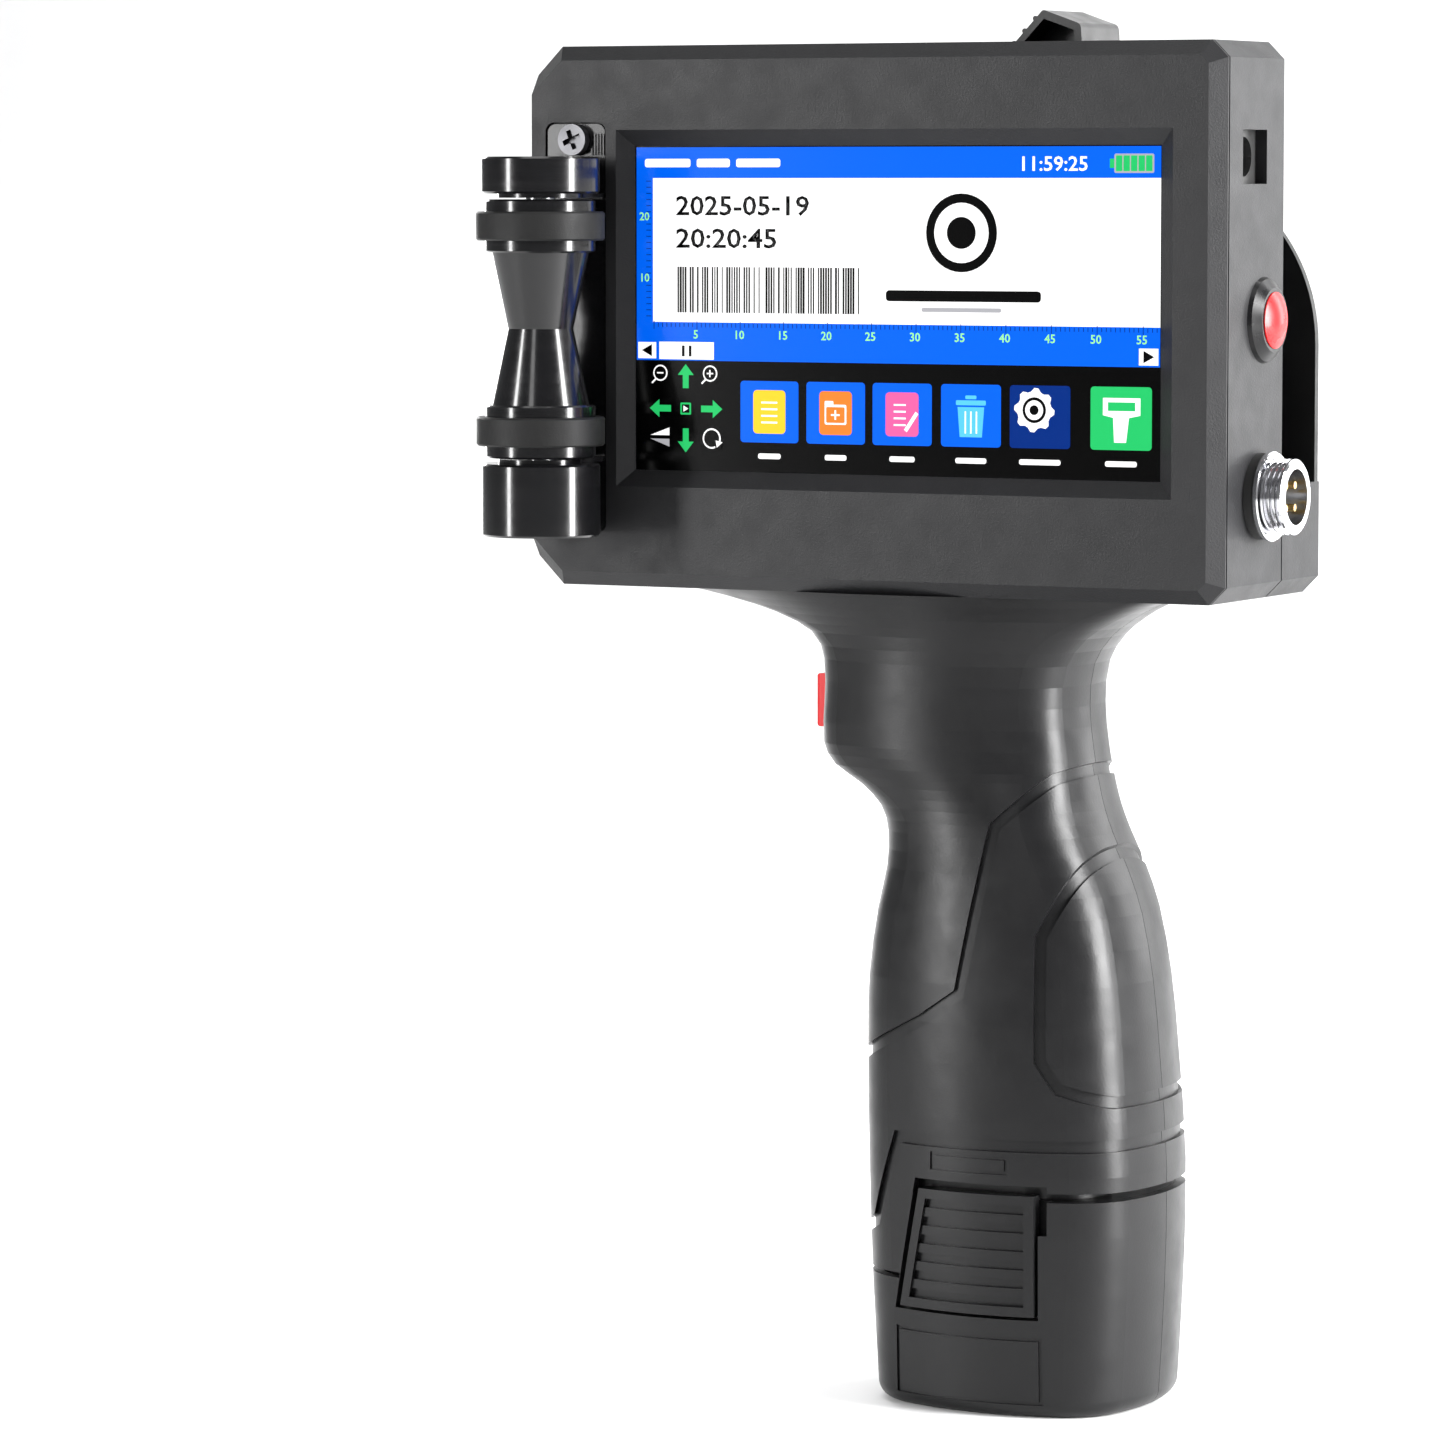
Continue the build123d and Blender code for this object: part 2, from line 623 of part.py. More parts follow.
connector_plane = Plane(origin=(head_right, connector_y, connector_z), x_dir=(1, 0, 0), z_dir=(0, -1, 0))
connector_axis = Axis((head_right, connector_y, connector_z), (1, 0, 0))
flange_start = gasket_height
thread_start = gasket_height + flange_height
mouth = thread_start + thread_height
with BuildPart() as connector_gasket:
    turned([(0, thread_radius + hole_gap), (0, gasket_radius), (gasket_height, gasket_radius),
            (gasket_height, thread_radius + hole_gap)], connector_plane, connector_axis)
    chamfer(connector_gasket.edges().filter_by(GeomType.CIRCLE).group_by(Axis.X)[-1][-1], length=0.25)
connector_gasket.part.label = "connector_gasket"
export_step(connector_gasket.part, "parts/connector_gasket.step")

with BuildPart() as connector_shell:
    ridge_points = []
    for ridge in range(thread_ridges):
        root = thread_start + ridge * thread_pitch
        ridge_points += [(root, thread_radius - thread_depth), (root + 0.2, thread_radius - thread_depth),
                         (root + 0.45, thread_radius), (root + 0.65, thread_radius)]
    turned([(-shell_behind, socket_radius), (-shell_behind, thread_radius), (flange_start, thread_radius),
            (flange_start, flange_radius - 0.2), (flange_start + 0.2, flange_radius),
            (thread_start - 0.2, flange_radius), (thread_start, flange_radius - 0.2)] + ridge_points
           + [(mouth - 0.25, thread_radius), (mouth, thread_radius - 0.35), (mouth, socket_radius)],
           connector_plane, connector_axis)
connector_shell.part.label = "connector_shell"
export_step(connector_shell.part, "parts/connector_shell.step")

pin_spots = [(i * pin_circle / 2**0.5, j * pin_circle / 2**0.5) for i in (-1, 1) for j in (-1, 1)]
with BuildPart() as connector_insert:
    rod(facing_right(head_right - shell_behind, connector_y, connector_z), socket_radius - 0.02,
        shell_behind + thread_start - 0.4)
    holes(pin_spots, facing_right(head_right - shell_behind, connector_y, connector_z), pin_radius + 0.02,
          shell_behind + mouth)
connector_insert.part.label = "connector_insert"
export_step(connector_insert.part, "parts/connector_insert.step")

with BuildPart() as connector_pins:
    holes(pin_spots, facing_right(head_right - shell_behind - 2, connector_y, connector_z), pin_radius,
          shell_behind + mouth + 1.0, mode=Mode.ADD)
connector_pins.part.label = "connector_pins"
export_step(connector_pins.part, "parts/connector_pins.step")

# ================================================================ guide roller
roller_low = head_bottom + lower_cap_up + lower_cap_height + arm_thick + arm_gap
roller_high = roller_low + roller_height
arm_low = roller_low - arm_gap - arm_thick
arm_high = roller_high + arm_gap
plate_y = head_front + channel_depth
with BuildPart() as roller_bracket:
    block((roller_x - bracket_width / 2, roller_x + bracket_width / 2), (plate_y - bracket_thick, plate_y),
          (channel_low + fit, channel_high - fit))
    fillet(roller_bracket.edges().filter_by(Axis.Y), radius=channel_round - fit / 2)
    for arm_z in (arm_low, arm_high):
        with BuildSketch(Plane.XY.offset(arm_z)) as arm:
            with Locations((roller_x, (roller_y + plate_y - bracket_thick / 2) / 2)):
                Rectangle(bracket_width, plate_y - bracket_thick / 2 - roller_y)
            with Locations((roller_x, roller_y)):
                Circle(bracket_width * 0.65)
        extrude(arm.sketch, amount=arm_thick)
    holes([(roller_x, roller_y)], Plane.XY.offset(head_bottom), axle_radius, head_height)
    for ridge in range(serrations):
        ridge_x = roller_x + 3.1 + ridge * 0.55
        block((ridge_x - 0.13, ridge_x + 0.13), (plate_y - bracket_thick - 0.25, plate_y - bracket_thick),
              (channel_high - 5.5, channel_high - channel_round - fit))
    rod(facing_front(plate_y).shift_origin((roller_x, plate_y, head_bottom + bracket_screw_up)),
        screw_radius + hole_gap, bracket_thick, mode=Mode.SUBTRACT)
roller_bracket.part.label = "roller_bracket"
export_step(roller_bracket.part, "parts/roller_bracket.step")

with BuildPart() as bracket_screw:
    screw(Plane(origin=(roller_x, plate_y - bracket_thick, head_bottom + bracket_screw_up),
                x_dir=(1, 0, 0.4), z_dir=(0, -1, 0)), screw_head, screw_radius, bracket_thick + 4.0)
bracket_screw.part.label = "bracket_screw"
export_step(bracket_screw.part, "parts/bracket_screw.step")

with BuildPart() as roller_axle:
    rod(facing_up(roller_x, roller_y, arm_low - lower_cap_height + 2), axle_radius - 0.01,
        arm_high - arm_low + arm_thick + lower_cap_height + upper_cap_height - 4)
roller_axle.part.label = "roller_axle"
export_step(roller_axle.part, "parts/roller_axle.step")

for cap_name, cap_low, cap_height in (("roller_lower_cap", arm_low - lower_cap_height, lower_cap_height),
                                      ("roller_upper_cap", arm_high + arm_thick, upper_cap_height)):
    with BuildPart() as end_cap:
        rod(facing_up(roller_x, roller_y, cap_low), end_radius, cap_height)
        chamfer(end_cap.edges().filter_by(GeomType.CIRCLE), length=0.35)
        bore_low = cap_low + 2 if cap_name == "roller_lower_cap" else cap_low
        rod(facing_up(roller_x, roller_y, bore_low), axle_radius, cap_height - 2, mode=Mode.SUBTRACT)
    end_cap.part.label = cap_name
    export_step(end_cap.part, f"parts/{cap_name}.step")

roller_plane = Plane(origin=(roller_x, roller_y, 0), x_dir=(1, 0, 0), z_dir=(0, -1, 0))
roller_axis = Axis((roller_x, roller_y, 0), (0, 0, 1))
seat_low = roller_low + rim_height
seat_high = roller_high - rim_height - tyre_height
cone_low = seat_low + tyre_height + rim_height
cone_high = seat_high - rim_height
waist_z = (cone_low + cone_high) / 2
edge = 0.3
with BuildPart() as roller_body:
    turned([(bush_radius, roller_low), (hub_radius - edge, roller_low), (hub_radius, roller_low + edge),
            (hub_radius, seat_low), (tyre_seat, seat_low), (tyre_seat, seat_low + tyre_height),
            (hub_radius, seat_low + tyre_height), (hub_radius, cone_low - edge),
            (hub_radius - edge, cone_low), (cone_radius, cone_low), (waist_radius, waist_z),
            (cone_radius, cone_high), (hub_radius - edge, cone_high), (hub_radius, cone_high + edge),
            (hub_radius, seat_high), (tyre_seat, seat_high), (tyre_seat, seat_high + tyre_height),
            (hub_radius, seat_high + tyre_height),
            (hub_radius, roller_high - edge), (hub_radius - edge, roller_high), (bush_radius, roller_high),
            (bush_radius, roller_high - bush_length), (axle_radius + 0.5, roller_high - bush_length),
            (axle_radius + 0.5, roller_low + bush_length), (bush_radius, roller_low + bush_length)],
           roller_plane, roller_axis)
roller_body.part.label = "roller_body"
export_step(roller_body.part, "parts/roller_body.step")

for end, tyre_low in (("lower", seat_low), ("upper", seat_high)):
    with BuildPart() as tyre:
        turned([(tyre_seat, tyre_low), (tyre_radius - edge, tyre_low), (tyre_radius, tyre_low + edge),
                (tyre_radius, tyre_low + tyre_height - edge), (tyre_radius - edge, tyre_low + tyre_height),
                (tyre_seat, tyre_low + tyre_height)], roller_plane, roller_axis)
    tyre.part.label = f"roller_tyre_{end}"
    export_step(tyre.part, f"parts/roller_tyre_{end}.step")

with BuildPart() as roller_bushes:
    for bush_low in (roller_low, roller_high - bush_length):
        turned([(axle_radius + running, bush_low), (bush_radius, bush_low),
                (bush_radius, bush_low + bush_length), (axle_radius + running, bush_low + bush_length)],
               roller_plane, roller_axis)
roller_bushes.part.label = "roller_bushes"
export_step(roller_bushes.part, "parts/roller_bushes.step")

# ================================================================ ink cartridge
ink_low = sill_top + bay_gap
ink_top = ink_low + cartridge_height
body_left = cartridge_right - cartridge_width
foot_left = head_left + guard_thick + bay_gap + 0.3
foot_top = ink_low + foot_height
ink_front = seam_y + bay_gap
ink_back = cover_front - bay_gap
lid_y = ink_back - lid_thick
ink_wall = 1.5


def cartridge_outline(y_front, y_back, inset=0.0, mode=Mode.ADD):
    """Side outline of the cartridge: a tall body with a rounded shoulder and a low print-head foot."""
    with BuildSketch(facing_front(y_back)) as outline:
        with BuildLine():
            body, right = body_left + inset, cartridge_right - inset
            low, top, foot = ink_low + inset, ink_top - inset, foot_top - inset
            bend = shoulder_round - inset
            Polyline((body, top - bend), (body, foot), (foot_left + inset, foot), (foot_left + inset, low),
                     (right, low), (right, top), (body + bend, top))
            RadiusArc((body + bend, top), (body, top - bend), bend, short_sagitta=True)
        make_face()
    extrude(outline.sketch, amount=y_back - y_front, mode=mode)


with BuildPart() as cartridge_shell:
    cartridge_outline(ink_front, lid_y)
    cartridge_outline(ink_front + ink_wall, lid_y + 1, inset=ink_wall, mode=Mode.SUBTRACT)
cartridge_shell.part.label = "cartridge_shell"
export_step(cartridge_shell.part, "parts/cartridge_shell.step")

with BuildPart() as cartridge_lid:
    cartridge_outline(lid_y, ink_back)
    chamfer(cartridge_lid.faces().sort_by(Axis.Y)[-1].edges(), length=0.5)
cartridge_lid.part.label = "cartridge_lid"
export_step(cartridge_lid.part, "parts/cartridge_lid.step")

with BuildPart() as ink_foam:
    block((body_left + ink_wall + fit, cartridge_right - ink_wall - fit), (ink_front + ink_wall, lid_y),
          (ink_low + ink_wall + 6.0, ink_top - shoulder_round))
ink_foam.part.label = "ink_foam"
export_step(ink_foam.part, "parts/ink_foam.step")

handle_foot = ink_top
handle_peak = (cartridge_right - 7.4, handle_foot + handle_rise)
handle_end = (cartridge_right - 0.5, handle_foot + handle_rise - 2.4)
handle_start = (handle_peak[0] - handle_rise * 0.95, handle_foot)
with BuildPart() as cartridge_handle:
    prism([handle_start, handle_peak, handle_end, (cartridge_right, handle_foot)], ink_front, handle_back)
    fillet(cartridge_handle.edges().filter_by(Axis.Y).sort_by(Axis.Z)[-2], radius=1.2)
    fillet(cartridge_handle.edges().filter_by(Axis.Y).sort_by(Axis.Z)[-1], radius=0.5)
    prism([(handle_start[0] + 2.2, handle_foot + 0.8), (handle_peak[0] + 0.2, handle_peak[1] - 1.5),
           (handle_end[0] - 1.2, handle_end[1] - 1.0), (cartridge_right - 1.4, handle_foot + 0.8)],
          ink_front - 1, ink_front + 6.0, mode=Mode.SUBTRACT)
    for ridge in range(4):
        share = 0.22 + 0.21 * ridge
        ridge_x = handle_start[0] + share * (handle_peak[0] - handle_start[0])
        ridge_z = handle_start[1] + share * handle_rise
        with BuildSketch(facing_front(handle_back)) as rib:
            with Locations((ridge_x, ridge_z)):
                Circle(0.45)
        extrude(rib.sketch, amount=handle_back - ink_front)
cartridge_handle.part.label = "cartridge_handle"
export_step(cartridge_handle.part, "parts/cartridge_handle.step")

nozzle_y = (ink_front + lid_y) / 2
with BuildPart() as nozzle_plate:
    block((foot_left - 0.25, foot_left), (nozzle_y - nozzle_width / 2, nozzle_y + nozzle_width / 2),
          (sill_top + nozzle_up, sill_top + nozzle_up + nozzle_height))
nozzle_plate.part.label = "nozzle_plate"
export_step(nozzle_plate.part, "parts/nozzle_plate.step")

pads_across, pads_up = 3, 4
pad_pitch = 3.0
pad_spots = [((contact_x[0] + contact_x[1]) / 2 + (i - 1) * pad_pitch,
              (contact_z[0] + contact_z[1]) / 2 + (j - 1.5) * pad_pitch)
             for i in range(pads_across) for j in range(pads_up)]
pad_thick = 0.1
with BuildPart() as cartridge_contacts:
    holes(pad_spots, facing_front(ink_front), 1.1, pad_thick, mode=Mode.ADD)
cartridge_contacts.part.label = "cartridge_contacts"
export_step(cartridge_contacts.part, "parts/cartridge_contacts.step")

with BuildPart() as contact_block:
    block(contact_x, (seam_y - wall, seam_y), contact_z)
    holes(pad_spots, facing_front(seam_y), 0.55, wall)
contact_block.part.label = "contact_block"
export_step(contact_block.part, "parts/contact_block.step")

with BuildPart() as contact_pins:
    holes(pad_spots, facing_front(seam_y + bay_gap - pad_thick - running), 0.5, wall + 2, mode=Mode.ADD)
contact_pins.part.label = "contact_pins"
export_step(contact_pins.part, "parts/contact_pins.step")

# ================================================================ grip shells
# The joint with the battery steps down on the trigger side, round the slanted latch.
latch_gap_left = 1.3
latch_gap_right = 0.6
latch_gap_top = 1.6
notch_low = 30.5
notch_right = latch_right + 2.0
lean = (latch_left_high - latch_left_low) / (latch_high - latch_low)


def latch_left(height, gap=0.0):
    """X of the latch's slanted edge at a height."""
    return latch_left_low + lean * (height - latch_low) - gap


far = 60.0
grip_low_edge = [(-far * 2, split_low), (latch_left(split_low, latch_gap_left), split_low),
                 (latch_left(latch_high + latch_gap_top, latch_gap_left), latch_high + latch_gap_top),
                 (notch_right, latch_high + latch_gap_top), (notch_right, split_high), (far, split_high)]
pocket_points = [(latch_left(latch_low, latch_gap_left), latch_low - latch_gap_right),
                 (latch_right + latch_gap_right, latch_low - latch_gap_right),
                 (latch_right + latch_gap_right, notch_low), (notch_right, notch_low), (notch_right, far),
                 (latch_left(far, latch_gap_left), far)]


def groove_band(points, width):
    """Cutter for a groove of a given width along (x, z) points, right through in Y."""
    with BuildSketch(facing_front(far)) as band:
        with BuildLine() as line:
            Polyline(*points)
        trace(line.line, line_width=width)
    return extrude(band.sketch, amount=2 * far, mode=Mode.PRIVATE)


upper_groove = [(30, 113.5), (9.6, 104.5), (1.8, 96.9), (-2.9, 69.5), (-10.0, 64.7), (-34, 52.5)]
pad_groove = [(30, 99.5), (16.5, 92.3), (10.6, 79.3), (11.2, 59.1), (14.2, 54.6), (21.8, 52.2), (30, 52.2)]
band_groove = [(30, 45.2), (-14.6, 45.0), (-19.8, 30.4), (-23.5, 28.5), (-34, 28.0)]
label_points = [(-14.7, 2.6), (11.7, 2.6), (11.7, 13.2), (-14.7, 13.2), (-14.7, 2.6)]
tab_points = [(-7.5, 40.6), (6.0, 40.6), (6.0, 43.0), (-7.5, 43.0), (-7.5, 40.6)]


def between_halves(side, overlap=0.0):
    """Y range of one half of the grip or battery: side -1 is the screen side, +1 the cartridge side."""
    return (-far, -seam_half + overlap) if side < 0 else (seam_half - overlap, far)


def cut_outside(points_list, width, depth_form):
    """Grooves of one width, as deep as the gap between the outer form and a slightly smaller one."""
    cutters = []
    for points in points_list:
        cutters.append(groove_band(points, width) - depth_form)
    return cutters


grip_grooves = cut_outside([upper_groove, pad_groove, band_groove], groove_width, groove_form)
fine_grooves = cut_outside([tab_points], fine_groove, grip_form(0.3))
switch_x = (trigger_face + 13.6, trigger_face + 13.6 + switch_width)
switch_z = (trigger_up - 5.5, trigger_up + 5.5)
terminal_low = tower_top + 1.0
terminal_high = terminal_low + 7.0
for side, shell_name in ((-1, "grip_front_shell"), (1, "grip_rear_shell")):
    # Posts, the switch shelf and the terminal shelf reach from the wall to the middle.
    with BuildPart() as supports:
        holes(grip_posts, Plane(origin=(0, 0, 0), x_dir=(1, 0, 0), z_dir=(0, -1, 0)), boss_radius,
              -side * far, mode=Mode.ADD)
        block((switch_x[0] + 2, switch_x[1] - 2), sorted((side * 6.2, side * far)),
              (switch_z[0] + 1, switch_z[1] - 1))
        block((pack_x - 6, pack_x + 6), sorted((side * 7.2, side * far)), (terminal_low + 2, terminal_high))
        add(groove_form, mode=Mode.INTERSECT)
    with BuildPart() as grip_shell:
        add(outer_form)
        prism([(-2 * far, -1)] + grip_low_edge + [(far, -1)], -far, far, mode=Mode.SUBTRACT)
        add(core_form, mode=Mode.SUBTRACT)
        add(supports.part)
        holes(grip_posts, facing_front(post_seat), screw_radius + hole_gap, 21.0)
        holes(grip_posts, facing_front(far), screw_head + hole_gap, far - post_seat)
        block((trigger_face - 5, trigger_face + 9), (-trigger_width / 2 - fit, trigger_width / 2 + fit),
              (trigger_up - trigger_height / 2 - fit, trigger_up + trigger_height / 2 + fit),
              mode=Mode.SUBTRACT)
        rod(facing_up(neck_x, neck_y, head_bottom - roof_thick - 1), neck_hole, roof_thick + 2,
            mode=Mode.SUBTRACT)
        holes(neck_spots, facing_up(0, 0, head_bottom - roof_thick), screw_radius + hole_gap, roof_thick)
        for cutter in grip_grooves + fine_grooves:
            add(cutter, mode=Mode.SUBTRACT)
        block((-2 * far, 2 * far), between_halves(-side, overlap=2 * seam_half), (-1, head_bottom + 1),
              mode=Mode.SUBTRACT)
    grip_shell.part.label = shell_name
    export_step(grip_shell.part, f"parts/{shell_name}.step")

with BuildPart() as grip_screws:
    for spot_x, spot_z in grip_posts:
        seat = Plane(origin=(spot_x, post_seat, spot_z), x_dir=(-1, 0, 0), z_dir=(0, 1, 0))
        screw(seat, screw_head, screw_radius, 20.0)
grip_screws.part.label = "grip_screws"
export_step(grip_screws.part, "parts/grip_screws.step")

with BuildPart() as neck_screws:
    for spot_x, spot_y in neck_spots:
        screw(facing_up(spot_x, spot_y, head_bottom + wall), screw_head, screw_radius, wall + roof_thick)
neck_screws.part.label = "neck_screws"
export_step(neck_screws.part, "parts/neck_screws.step")

# ================================================================ trigger
trigger_back = trigger_face + 7.4
stop_face = trigger_back - trigger_flange
with BuildPart() as trigger_button:
    block((trigger_face, trigger_back), (-trigger_width / 2, trigger_width / 2),
          (trigger_up - trigger_height / 2, trigger_up + trigger_height / 2))
    fillet(trigger_button.faces().sort_by(Axis.X)[0].edges(), radius=1.0)
    block((stop_face, trigger_back), (-trigger_width / 2 - 1.5, trigger_width / 2 + 1.5),
          (trigger_up - trigger_height / 2 - 1.5, trigger_up + trigger_height / 2 + 1.5))
trigger_button.part.label = "trigger_button"
export_step(trigger_button.part, "parts/trigger_button.step")

with BuildPart() as trigger_spring:
    coil(facing_right(trigger_back, 0, trigger_up), 3.2, 0.35, switch_x[0] - trigger_back, 4)
trigger_spring.part.label = "trigger_spring"
export_step(trigger_spring.part, "parts/trigger_spring.step")

with BuildPart() as trigger_switch:
    block(switch_x, (-6.0, 6.0), switch_z)
    plunger = switch_x[0] - trigger_back - trigger_travel - fit
    rod(facing_right(switch_x[0] - plunger, 0, trigger_up), 1.4, plunger)
trigger_switch.part.label = "trigger_switch"
export_step(trigger_switch.part, "parts/trigger_switch.step")

with BuildPart() as grip_terminals:
    block((pack_x - 13, pack_x + 13), (-7.0, 7.0), (terminal_low + 1.0, terminal_high))
    for strip in (-1, 0, 1):
        strip_x = pack_x + strip * 8.0
        block((strip_x - 1.5, strip_x + 1.5), (-4.0, 4.0), (terminal_low - 0.2, terminal_low + 1.0))
grip_terminals.part.label = "grip_terminals"
export_step(grip_terminals.part, "parts/grip_terminals.step")

# ================================================================ battery
battery_high = split_high - split_high_gap
battery_step = split_low - split_low_gap
deck_low = battery_high - deck_thick
room_y = latch_floor - tower_wall
battery_edge = [(-far * 2, -1), (far, -1), (far, battery_high), (latch_left(battery_high, latch_gap_left),
                                                               battery_high),
                (latch_left(battery_step, latch_gap_left), battery_step), (-far * 2, battery_step)]
battery_form = grip_form(0.0, high=battery_reach)
battery_core = grip_form(case_wall, high=battery_reach)
proud_form = grip_form(-latch_proud, high=battery_reach)
label_grooves = cut_outside([label_points], fine_groove, grip_form(0.35, high=battery_reach))
battery_room = battery_core & Pos(0, 0, base_thick + far) * Box(4 * far, 2 * room_y, 2 * far)
deck_form = grip_form(case_wall + 0.15, high=battery_reach)
battery_deck = deck_form & Pos(0, 0, deck_low + deck_thick / 2) * Box(4 * far, 2 * room_y - 0.2, deck_thick)
for side, case_name in ((-1, "battery_front_case"), (1, "battery_rear_case")):
    with BuildPart() as battery_case:
        add(battery_form)
        fillet(battery_case.edges().group_by(Axis.Z)[0], radius=base_round)
        prism([(-far * 2, far), (far, far)] + battery_edge[2:], -far, far, mode=Mode.SUBTRACT)
        pocket_y = sorted((side * latch_floor, side * far))
        prism(pocket_points, pocket_y[0], pocket_y[1], mode=Mode.SUBTRACT)
        add(battery_room, mode=Mode.SUBTRACT)
        for cutter in label_grooves:
            add(cutter, mode=Mode.SUBTRACT)
        block((-2 * far, 2 * far), between_halves(-side, overlap=2 * seam_half), (-1, 2 * far),
              mode=Mode.SUBTRACT)
    battery_case.part.label = case_name
    export_step(battery_case.part, f"parts/{case_name}.step")


def tower_outline(radius, low, high, mode=Mode.ADD):
    """Rounded triangle round the three upright cells."""
    with BuildSketch(Plane.XY.offset(low)) as outline:
        with Locations(*cell_spots):
            Circle(radius)
        make_hull()
    extrude(outline.sketch, amount=high - low, mode=mode)


tower_low = battery_step - 2.0
with BuildPart() as battery_tower:
    add(battery_deck)
    prism([(-far * 2, deck_low - 1), (latch_left(deck_low, latch_gap_left) - 0.3, deck_low - 1),
           (latch_left(battery_high, latch_gap_left) - 0.3, far), (-far * 2, far)],
          -far, far, mode=Mode.SUBTRACT)
    tower_outline(tower_radius, tower_low, tower_top)
    chamfer(battery_tower.faces().sort_by(Axis.Z)[-1].edges(), length=0.6)
    for side in (-1, 1):
        block((-far, far), sorted((side * (room_y - 0.1), side * far)), (tower_low - 1, battery_high),
              mode=Mode.SUBTRACT)
    tower_outline(tower_radius - tower_wall, tower_low - 1, tower_top - tower_wall, mode=Mode.SUBTRACT)
battery_tower.part.label = "battery_tower"
export_step(battery_tower.part, "parts/battery_tower.step")

with BuildPart() as battery_cells:
    holes(cell_spots, Plane.XY.offset(cells_low), cell_radius, cell_length, mode=Mode.ADD)
    chamfer(battery_cells.edges().filter_by(GeomType.CIRCLE), length=0.5)
battery_cells.part.label = "battery_cells"
export_step(battery_cells.part, "parts/battery_cells.step")

with BuildPart() as battery_board:
    block((pack_x - 11.5, pack_x + 11.5), (-12.0, 3.5), (cells_low + cell_length,
                                                       tower_top - tower_wall - fit))
battery_board.part.label = "battery_board"
export_step(battery_board.part, "parts/battery_board.step")

with BuildPart() as battery_terminals:
    for strip in (-1, 0, 1):
        strip_x = pack_x + strip * 8.0
        block((strip_x - 1.5, strip_x + 1.5), (-5.0, 5.0), (tower_top, tower_top + 0.4))
battery_terminals.part.label = "battery_terminals"
export_step(battery_terminals.part, "parts/battery_terminals.step")

# The two release latches are ribbed plates inside a raised frame, sprung outwards from the battery.
latch_outline = [(latch_left(latch_low), latch_low), (latch_right, latch_low), (latch_right, latch_high),
                 (latch_left(latch_high), latch_high)]
frame_low, frame_high = latch_low + latch_rim, latch_high - latch_rim
frame_right = latch_right - latch_rim
frame_outline = [(latch_left(frame_low, -latch_rim), frame_low), (frame_right, frame_low),
                 (frame_right, frame_high), (latch_left(frame_high, -latch_rim), frame_high)]
recess_form = grip_form(latch_recess - latch_proud, high=battery_reach)
rib_form = grip_form(0.0, high=battery_reach)
rib_pitch = (frame_high - frame_low) / (latch_ribs + 0.5)
spring_spot = ((latch_right + latch_left(frame_low)) / 2, (latch_low + latch_high) / 2)
spring_seat = latch_back + 1.2
for side, end in ((-1, "front"), (1, "rear")):
    outwards = Plane(origin=(spring_spot[0], side * latch_floor, spring_spot[1]), x_dir=(1, 0, 0),
                     z_dir=(0, side, 0))
    with BuildPart() as recess:
        prism(frame_outline, *sorted((side * latch_floor, side * far)))
        add(recess_form, mode=Mode.SUBTRACT)
    with BuildPart() as ribs:
        for rib in range(latch_ribs):
            rib_low = frame_low + rib_pitch * (rib + 0.5)
            rib_high = rib_low + rib_pitch / 2
            rib_left_edge = latch_left(rib_low, -latch_rim / 2)
            prism([(rib_left_edge, rib_low), (frame_right, rib_low), (frame_right, rib_high),
                   (rib_left_edge, rib_high)], *sorted((side * latch_back, side * far)))
        add(rib_form, mode=Mode.INTERSECT)
    with BuildPart() as latch:
        prism(latch_outline, *sorted((side * latch_back, side * far)))
        add(proud_form, mode=Mode.INTERSECT)
        add(recess.part, mode=Mode.SUBTRACT)
        add(ribs.part)
        rod(outwards, latch_post, spring_seat - latch_floor, mode=Mode.SUBTRACT)
    latch.part.label = f"battery_latch_{end}"
    export_step(latch.part, f"parts/battery_latch_{end}.step")
    with BuildPart() as latch_spring:
        coil(outwards, 2.4, 0.25, spring_seat - latch_floor, 2)
    latch_spring.part.label = f"latch_spring_{end}"
    export_step(latch_spring.part, f"parts/latch_spring_{end}.step")
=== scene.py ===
"""Looks of a handheld date code inkjet printer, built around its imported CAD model.

Everything is in metres in the model's own frame: X from the printing side to the connector side,
Y from the screen to the cartridge bay, Z up, with the origin under the battery.
"""
from __future__ import annotations

import logging
import math
from dataclasses import dataclass, field
from enum import Enum

import bmesh
import bpy
from mathutils import Euler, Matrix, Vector


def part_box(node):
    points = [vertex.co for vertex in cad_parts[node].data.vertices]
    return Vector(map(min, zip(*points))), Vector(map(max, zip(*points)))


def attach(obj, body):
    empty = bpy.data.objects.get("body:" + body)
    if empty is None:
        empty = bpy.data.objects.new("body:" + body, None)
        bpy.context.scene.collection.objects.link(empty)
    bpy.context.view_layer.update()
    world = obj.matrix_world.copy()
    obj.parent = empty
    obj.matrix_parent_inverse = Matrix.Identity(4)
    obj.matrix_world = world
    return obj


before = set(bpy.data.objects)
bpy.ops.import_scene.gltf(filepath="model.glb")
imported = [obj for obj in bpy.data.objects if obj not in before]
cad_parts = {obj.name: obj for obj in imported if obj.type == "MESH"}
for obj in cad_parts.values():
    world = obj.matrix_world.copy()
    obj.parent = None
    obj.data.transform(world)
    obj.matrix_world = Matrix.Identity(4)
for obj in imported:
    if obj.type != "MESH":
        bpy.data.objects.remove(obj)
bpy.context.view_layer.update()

logging.basicConfig(level=logging.INFO, format="%(name)s: %(message)s")
log = logging.getLogger("coder")

MM = 0.001
CORNER_STEPS = 4  # flat steps round a film's corner
NUMERAL_BOLDNESS = 0.012  # outline growth, as a share of the numerals' size
Colour = tuple[float, float, float]
Point2 = tuple[float, float]


